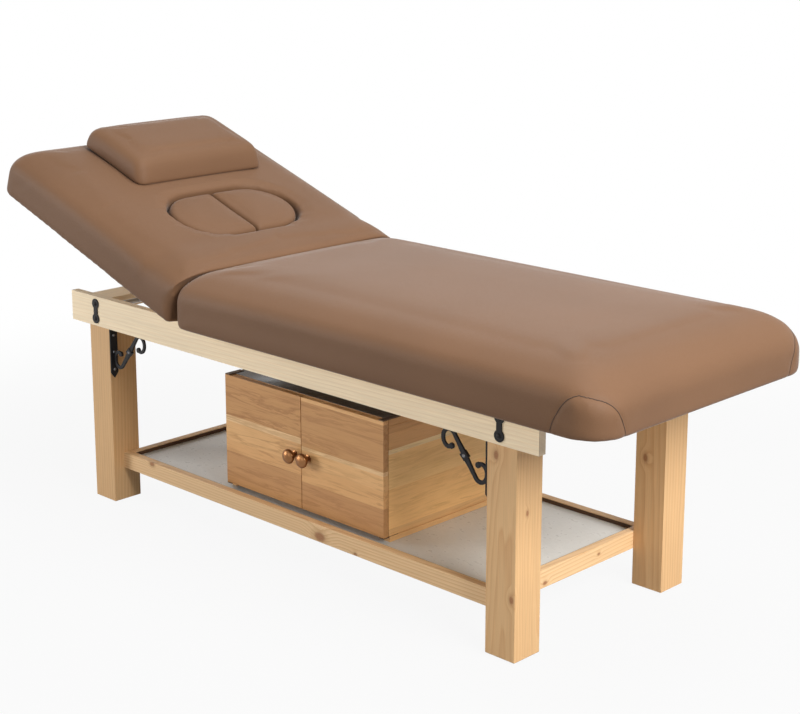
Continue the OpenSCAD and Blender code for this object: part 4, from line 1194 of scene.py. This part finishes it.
@dataclass
class Upholstery:
    """The fixed cushion, the tilting head cushion, the two face-hole plugs and the loose pillow."""

    foot_end: float = 944.0 * MM
    hinge_at: tuple[float, float] = (-277.0 * MM, 516.5 * MM)
    clear: float = 1.0 * MM
    board_gap: float = 9.0 * MM
    round_head: float = 66.0 * MM
    round_foot: float = 62.0 * MM
    patch_start: float = 832.0 * MM
    patch_stop: float = 273.0 * MM
    patch_high: float = 103.0 * MM
    patch_corner: float = 42.0 * MM
    seam: float = 0.8 * MM
    fold_lean: float = math.radians(20.0)
    fold: tuple[float, float] = (83.4 * MM, 23.4 * MM)
    hole_middle: float = 250.5 * MM
    hole_half: tuple[float, float] = (167.0 * MM, 96.5 * MM)

    def __post_init__(self) -> None:
        """Takes the hinge line and the cushions' ends from the frame.

        The x measures here are for a bed whose foot end is at foot_end. The
        shift carries them over to the frame's own.
        """
        self.main_lo, self.main_hi = box("main_cushion")
        self.shift = self.main_hi.x - self.foot_end
        self.hinge = Vector((self.shift + self.hinge_at[0], 0.0, self.hinge_at[1]))
        self.cos, self.sin = math.cos(TILT), math.sin(TILT)
        self.ahead = Vector((self.cos, 0.0, -self.sin))
        self.up = Vector((self.sin, 0.0, self.cos))
        self.cover = Leatherette().material()
        self.thread = Metal("Seam_thread_shadow", (0.045, 0.024, 0.014), 0.0, 0.8).material()

    def head_point(self, along: float, high: float) -> tuple[float, float]:
        """X and Z of a place so far from the hinge along the head section, so high over its board."""
        high += self.board_gap
        return (self.hinge.x - along * self.cos + high * self.sin,
                self.hinge.z + along * self.sin + high * self.cos)

    def local(self, co: Vector) -> tuple[float, float]:
        """Along and high of a point on the head section."""
        dx, dz = co.x - self.hinge.x, co.z - self.hinge.z
        return -dx * self.cos + dz * self.sin, dx * self.sin + dz * self.cos - self.board_gap

    def main_end(self, z: float) -> float:
        """X of the fixed cushion's head end at a height."""
        over = z - (self.main_hi.z - self.round_head)
        if over <= 0:
            return self.main_lo.x
        over = min(over, self.round_head)
        return self.main_lo.x + self.round_head - math.sqrt(self.round_head**2 - over**2)

    def keep_off_main(self, piece: bpy.types.Object) -> None:
        """Holds the head cushion's end just clear of the fixed cushion."""
        for vertex in piece.data.vertices:
            if vertex.co.z < self.main_hi.z:
                vertex.co.x = min(vertex.co.x, self.main_end(vertex.co.z) - self.clear)

    def round_main(self, piece: bpy.types.Object) -> None:
        """Gives the fixed cushion's head end its large top round."""
        for vertex in piece.data.vertices:
            vertex.co.x = max(vertex.co.x, self.main_end(vertex.co.z))

    def round_corners(self, piece: bpy.types.Object) -> None:
        """Rounds the fixed cushion's two foot corners in plan."""
        start_x, start_y = self.main_hi.x - self.round_foot, self.main_hi.y - self.round_foot
        for vertex in piece.data.vertices:
            over = Vector((vertex.co.x - start_x, abs(vertex.co.y) - start_y))
            if over.x > 0 and over.y > 0 and over.length > self.round_foot:
                pull = self.round_foot / over.length
                vertex.co.x = start_x + over.x * pull
                vertex.co.y = math.copysign(start_y + over.y * pull, vertex.co.y)

    def wedge(self) -> bpy.types.Mesh:
        """The soft filling between the head cushion's mitre and the fixed cushion's round end."""
        heel = ((-0.2865, 0.5275), (-0.2845, 0.565), (-0.2765, 0.593))
        side = [(x + self.shift, z) for x, z in heel]
        reach = self.round_head + self.clear
        for angle in (math.radians(10.0 * step) for step in range(1, 7)):
            side.append((self.main_lo.x + self.round_head - reach * math.cos(angle),
                         self.main_hi.z - self.round_head + reach * math.sin(angle)))
        rounded = len(side) + 2
        half, edge, steps, full, foot = 360 * MM, 40 * MM, 6, 134 * MM, 4 * MM
        near, far = 8 * MM, 105 * MM
        side += [self.head_point(*spot) for spot in ((near, full), (far, full), (far, foot))]
        low = self.head_point(0.0, full)[1] - edge
        turns = [(-1, step) for step in range(steps + 1)] + [(1, step) for step in range(steps, -1, -1)]
        work = bmesh.new()
        rows = []
        for sign, step in turns:
            angle = math.radians(90.0 / steps * step)
            y = sign * (half - edge + edge * math.cos(angle)) if step else sign * half
            drop = edge * (1 - math.sin(angle))
            falls = [drop * held_share((z - low) / edge) if i < rounded else 0.0
                     for i, (_, z) in enumerate(side)]
            rows.append([work.verts.new((x, y, z - fall)) for (x, z), fall in zip(side, falls)])
        quads(work, rows)
        work.faces.new(rows[0])
        work.faces.new(list(reversed(rows[-1])))
        return made("wedge", work, outward=True)

    def absorb(self, piece: bpy.types.Object, extra: bpy.types.Mesh) -> None:
        """Adds another mesh to a piece's own."""
        work = bmesh.new()
        work.from_mesh(piece.data)
        work.from_mesh(extra)
        work.to_mesh(piece.data)
        work.free()
        bpy.data.meshes.remove(extra)

    def patch_line(self, sign: int) -> list[Vector]:
        """The arched seam of a foot corner's patch, from the side's bottom round the corner to the end's.

        Args:
            sign: -1 for the front corner, 1 for the rear one.

        Returns:
            Points just outside the cushion.
        """
        start, r = self.patch_start + self.shift, self.patch_corner
        end, half = self.main_hi.x, self.main_hi.y
        flat_side = end - r - start
        bend = r * math.pi / 2
        total = flat_side + bend + (half - r) - self.patch_stop
        steps, fullness, foot = 120, 0.68, 4 * MM
        points = []
        for i in range(steps + 1):
            run = total * i / steps
            if run < flat_side:
                x, y = start + run, half
            elif run < flat_side + bend:
                angle = (run - flat_side) / r
                x, y = end - r + r * math.sin(angle), half - r + r * math.cos(angle)
            else:
                x, y = end, half - r - (run - flat_side - bend)
            arch = self.patch_high * math.sin(math.pi * i / steps) ** fullness
            points.append(Vector((x, sign * y, self.main_lo.z + foot + arch)))
        return points

    def main_cushion(self) -> None:
        """The fixed cushion with its two foot-corner patches."""
        piece = copy_node("main_cushion", "Main_cushion_cover")
        foam = Foam(9.6 * MM, 3.0 * MM, 7.0 * MM)
        foam.remesh(piece)

        def held(co: Vector) -> bool:
            """Where the cushion rests on its board."""
            return co.z < self.main_lo.z + 14 * MM

        def place(co: Vector) -> Place:
            """Distance from the side and the foot end, and height."""
            return self.main_hi.y - abs(co.y), self.main_hi.x - co.x, co.z - self.main_lo.z

        self.round_corners(piece)
        fall = Fall(130 * MM, 88 * MM, 6 * MM)
        fall.shape(piece, place, lambda co, rise: Vector((co.x, co.y, co.z + rise)))
        foam.stuff(piece, held)
        self.round_main(piece)
        foam.relax(piece, 2)
        foam.subdivide(piece)
        for sign, side in ((-1, "front"), (1, "rear")):
            line = on_cover(piece, self.patch_line(sign), 0.0)
            sink(piece, line, 5.0 * MM, 1.6 * MM)
            name = f"Foot_corner_seam_{side}"
            laid = on_cover(piece, line, 0.15 * MM)
            seam = hang(name, made(name, tube(laid, self.seam), outward=True))
            shade(seam, 180.0)
            finish(seam, self.thread, Body.BASE)
        finish(piece, self.cover, Body.BASE, "main_cushion")

    def head_cushion(self) -> None:
        """The head cushion, with its face hole."""
        piece = copy_node("head_cushion", "Head_cushion_cover")
        self.absorb(piece, self.wedge())
        foam = Foam(8.4 * MM, 2.5 * MM, 6.0 * MM)
        foam.remesh(piece)

        rim_y, rim_start, rim_end, rim_high = 192 * MM, 139 * MM, 362 * MM, 125 * MM
        joint_end, joint_low, joint_gap = 142 * MM, 50 * MM, 12 * MM
        rest_high, head_end = 14 * MM, 712 * MM

        def held(co: Vector) -> bool:
            """Where the cushion rests on its board, and round the face hole."""
            along, high = self.local(co)
            hole = abs(co.y) < rim_y and rim_start < along < rim_end and high < rim_high
            return high < rest_high or hole

        def place(co: Vector) -> Place:
            """Distance from the side and the head end, and height over the board."""
            along, high = self.local(co)
            return self.main_hi.y - abs(co.y), head_end - along, high

        def joint(co: Vector) -> bool:
            """The top where the filling meets the rest."""
            along, high = self.local(co)
            return along < joint_end and high > joint_low and co.x < self.main_end(co.z) - joint_gap

        foam.relax(piece, 40, joint)
        Fall(65 * MM, 55 * MM, 0.0).shape(piece, place, lambda co, rise: co + rise * self.up)
        self.open_hole(piece, fading=True)
        foam.stuff(piece, held)
        foam.relax(piece, 2)
        self.keep_off_main(piece)
        foam.subdivide(piece)
        self.keep_off_main(piece)
        finish(piece, self.cover)
        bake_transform(piece)
        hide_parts("head_cushion")

    def open_hole(self, piece: bpy.types.Object, fading: bool) -> None:
        """Widens the face hole a little, or a plug with it.

        Args:
            piece: The head cushion, or a plug.
            fading: Whether the widening fades out, as on the cushion. A plug grows as a whole.
        """
        half_y, half_along = self.hole_half
        fade, foot, tall = 0.45, 20 * MM, 50 * MM
        grow_y, more_y, grow_along, more_along = 0.05, 0.04, 0.025, 0.055
        for vertex in piece.data.vertices:
            along, high = self.local(vertex.co)
            off = along - self.hole_middle
            square = max(abs(vertex.co.y) / half_y, abs(off) / half_along)
            out = 0.5 * (square + math.hypot(vertex.co.y / half_y, off / half_along))
            keep = held_share((1.0 + fade - out) / fade) if fading else 1.0
            rise = held_share((high - foot) / tall)
            vertex.co.y *= 1.0 + (grow_y + more_y * rise) * keep
            vertex.co -= off * (grow_along + more_along * rise) * keep * self.ahead

    def shape_pillow(self, piece: bpy.types.Object) -> None:
        """Slopes the pillow's sides in towards its crowned top."""
        middle, middle_y, half, half_y = 529 * MM, 22 * MM, 126 * MM, 206 * MM
        foot, thick, crown, drop = 134.4 * MM, 62 * MM, 4 * MM, 7.5 * MM
        near_taper, far_taper, side_share, side_taper = 0.085, 0.06, 0.985, 0.045
        for vertex in piece.data.vertices:
            along, high = self.local(vertex.co)
            share = held_share((high - foot) / thick)
            off, off_y = along - middle, vertex.co.y - middle_y
            lean = share**1.15
            new_along = middle + off * (1.0 - (near_taper if off < 0 else far_taper) * lean)
            fall = drop * share * ((off / half) ** 4 + 0.8 * (off_y / half_y) ** 4) - crown * share
            vertex.co.y = middle_y + off_y * (side_share - side_taper * lean)
            vertex.co -= (new_along - along) * self.ahead
            vertex.co -= fall * self.up

    def small_pad(self, body: Body, name: str, foam: Foam, held_high: float) -> None:
        """A plug or the pillow, held below a height over the head board."""
        def held(co: Vector) -> bool:
            """Where the pad keeps its shape."""
            return self.local(co)[1] < held_high

        piece = copy_node(body.value, name)
        foam.remesh(piece)
        if body is Body.PILLOW:
            self.shape_pillow(piece)
        else:
            self.open_hole(piece, fading=False)
        foam.stuff(piece, held)
        foam.relax(piece, 1)
        foam.subdivide(piece)
        finish(piece, self.cover, body, body.value)

    def build(self) -> None:
        """Makes the plywood boards, then each soft piece."""
        ply = Board("Birch_plywood", (0.74, 0.56, 0.36), (0.60, 0.42, 0.24), 8.0, 0.6).material()
        dress("main_board", ply, 0.6 * MM)
        dress("head_board", ply, 0.6 * MM, Body.HEAD)
        self.main_cushion()
        self.head_cushion()
        small = Foam(5.0 * MM, 1.2 * MM, 5.0 * MM, 4.0)
        self.small_pad(Body.PLUG_FRONT, "Face_hole_plug_front", small, 110 * MM)
        self.small_pad(Body.PLUG_REAR, "Face_hole_plug_rear", small, 110 * MM)
        self.small_pad(Body.PILLOW, "Pillow_cover", Foam(5.0 * MM, 2.0 * MM, 6.0 * MM), 144 * MM)


# Studio


@dataclass(frozen=True)
class Studio:
    """Pale floor, soft lamps, a white surround and the camera."""

    place: Place = (2.7243, -2.6769, 1.5069)
    turn: Place = (77.078, 0.0, 44.416)
    lens: float = 77.1
    shift_y: float = -0.10
    ambient: float = 0.14
    floor_radius: float = 16.0
    floor_tone: float = 0.32
    floor_near: float = 1.2
    floor_far: float = 2.6
    near_glow: float = 0.92

    def camera(self) -> None:
        """Stands the camera where the photograph was taken."""
        data = bpy.data.cameras.new("Camera")
        data.sensor_width = 36.0
        data.lens = self.lens
        data.shift_y = self.shift_y
        data.clip_end = 60.0
        camera = bpy.data.objects.new("Camera", data)
        camera.location = self.place
        camera.rotation_euler = [math.radians(angle) for angle in self.turn]
        bpy.context.scene.collection.objects.link(camera)
        bpy.context.scene.camera = camera

    def floor(self) -> None:
        """A wide pale floor that takes a faint shadow near the bed and turns white farther out."""
        work = bmesh.new()
        bmesh.ops.create_circle(work, cap_ends=True, segments=96, radius=self.floor_radius)
        floor = hang("Floor", made("Floor", work))
        material = bpy.data.materials.new("Pale_floor")
        material.use_nodes = True
        graph = Graph(material.node_tree)
        far = graph.add("ShaderNodeVectorMath", {0: graph.add("ShaderNodeTexCoord").outputs["Object"]},
                        operation="LENGTH")
        fade = graph.add("ShaderNodeMapRange", {
            "Value": far.outputs["Value"], "From Min": self.floor_near, "From Max": self.floor_far,
            "To Min": self.near_glow, "To Max": 1.0}, interpolation_type="SMOOTHSTEP")
        matt = graph.add("ShaderNodeBsdfDiffuse", {"Color": (*(self.floor_tone,) * 3, 1.0)})
        glow = graph.add("ShaderNodeEmission")
        share = graph.maths("MULTIPLY", graph.seen(), fade.outputs[0])
        mixed = graph.add("ShaderNodeMixShader", {0: share, 1: matt.outputs[0], 2: glow.outputs[0]})
        graph.add("ShaderNodeOutputMaterial", {"Surface": mixed.outputs[0]})
        floor.data.materials.append(material)

    def surround(self) -> None:
        """White to the camera and to gloss, a plain soft grey as light."""
        world = bpy.data.worlds.new("Surround")
        bpy.context.scene.world = world
        world.use_nodes = True
        graph = Graph(world.node_tree)
        level = graph.add("ShaderNodeMapRange", {
            "Value": graph.seen(), "To Min": self.ambient, "To Max": 1.0})
        back = graph.add("ShaderNodeBackground", {
            "Color": (1.0, 1.0, 1.0, 1.0), "Strength": level.outputs[0]})
        graph.add("ShaderNodeOutputWorld", {"Surface": back.outputs[0]})

    def lamp(self, name: str, at: Place, aim: Place, size: float, watts: float) -> None:
        """One soft square lamp."""
        data = bpy.data.lights.new(name, "AREA")
        data.shape = "SQUARE"
        data.size = size
        data.energy = watts
        lamp = bpy.data.objects.new(name, data)
        lamp.location = at
        lamp.rotation_euler = (Vector(aim) - Vector(at)).to_track_quat("-Z", "Y").to_euler()
        bpy.context.scene.collection.objects.link(lamp)

    def build(self) -> None:
        """Sets up the whole studio."""
        self.camera()
        self.floor()
        self.surround()
        self.lamp("Key_lamp", (4.1, -0.5, 3.0), (0.2, 0.0, 0.4), 2.4, 312.0)
        self.lamp("Top_lamp", (0.4, 0.6, 4.2), (0.0, 0.0, 0.5), 3.0, 112.0)
        self.lamp("Front_lamp", (0.6, -5.0, 2.2), (0.0, 0.0, 0.4), 2.6, 31.0)
        self.lamp("Left_lamp", (-3.4, -3.2, 1.3), (-0.3, 0.0, 0.35), 1.8, 104.0)
        bpy.context.scene.view_settings.view_transform = "Standard"


def main() -> None:
    """Builds the studio and the bed."""
    logging.basicConfig(level=logging.INFO, format="%(name)s %(message)s")
    screws = ScrewHeads()
    for part in (Studio(), TimberFrame(), Cabinet(), Ironwork(screws), HeadLift(screws), screws,
                 Upholstery()):
        part.build()
        LOG.info("%s done", type(part).__name__)


if __name__ == "__main__":
    main()
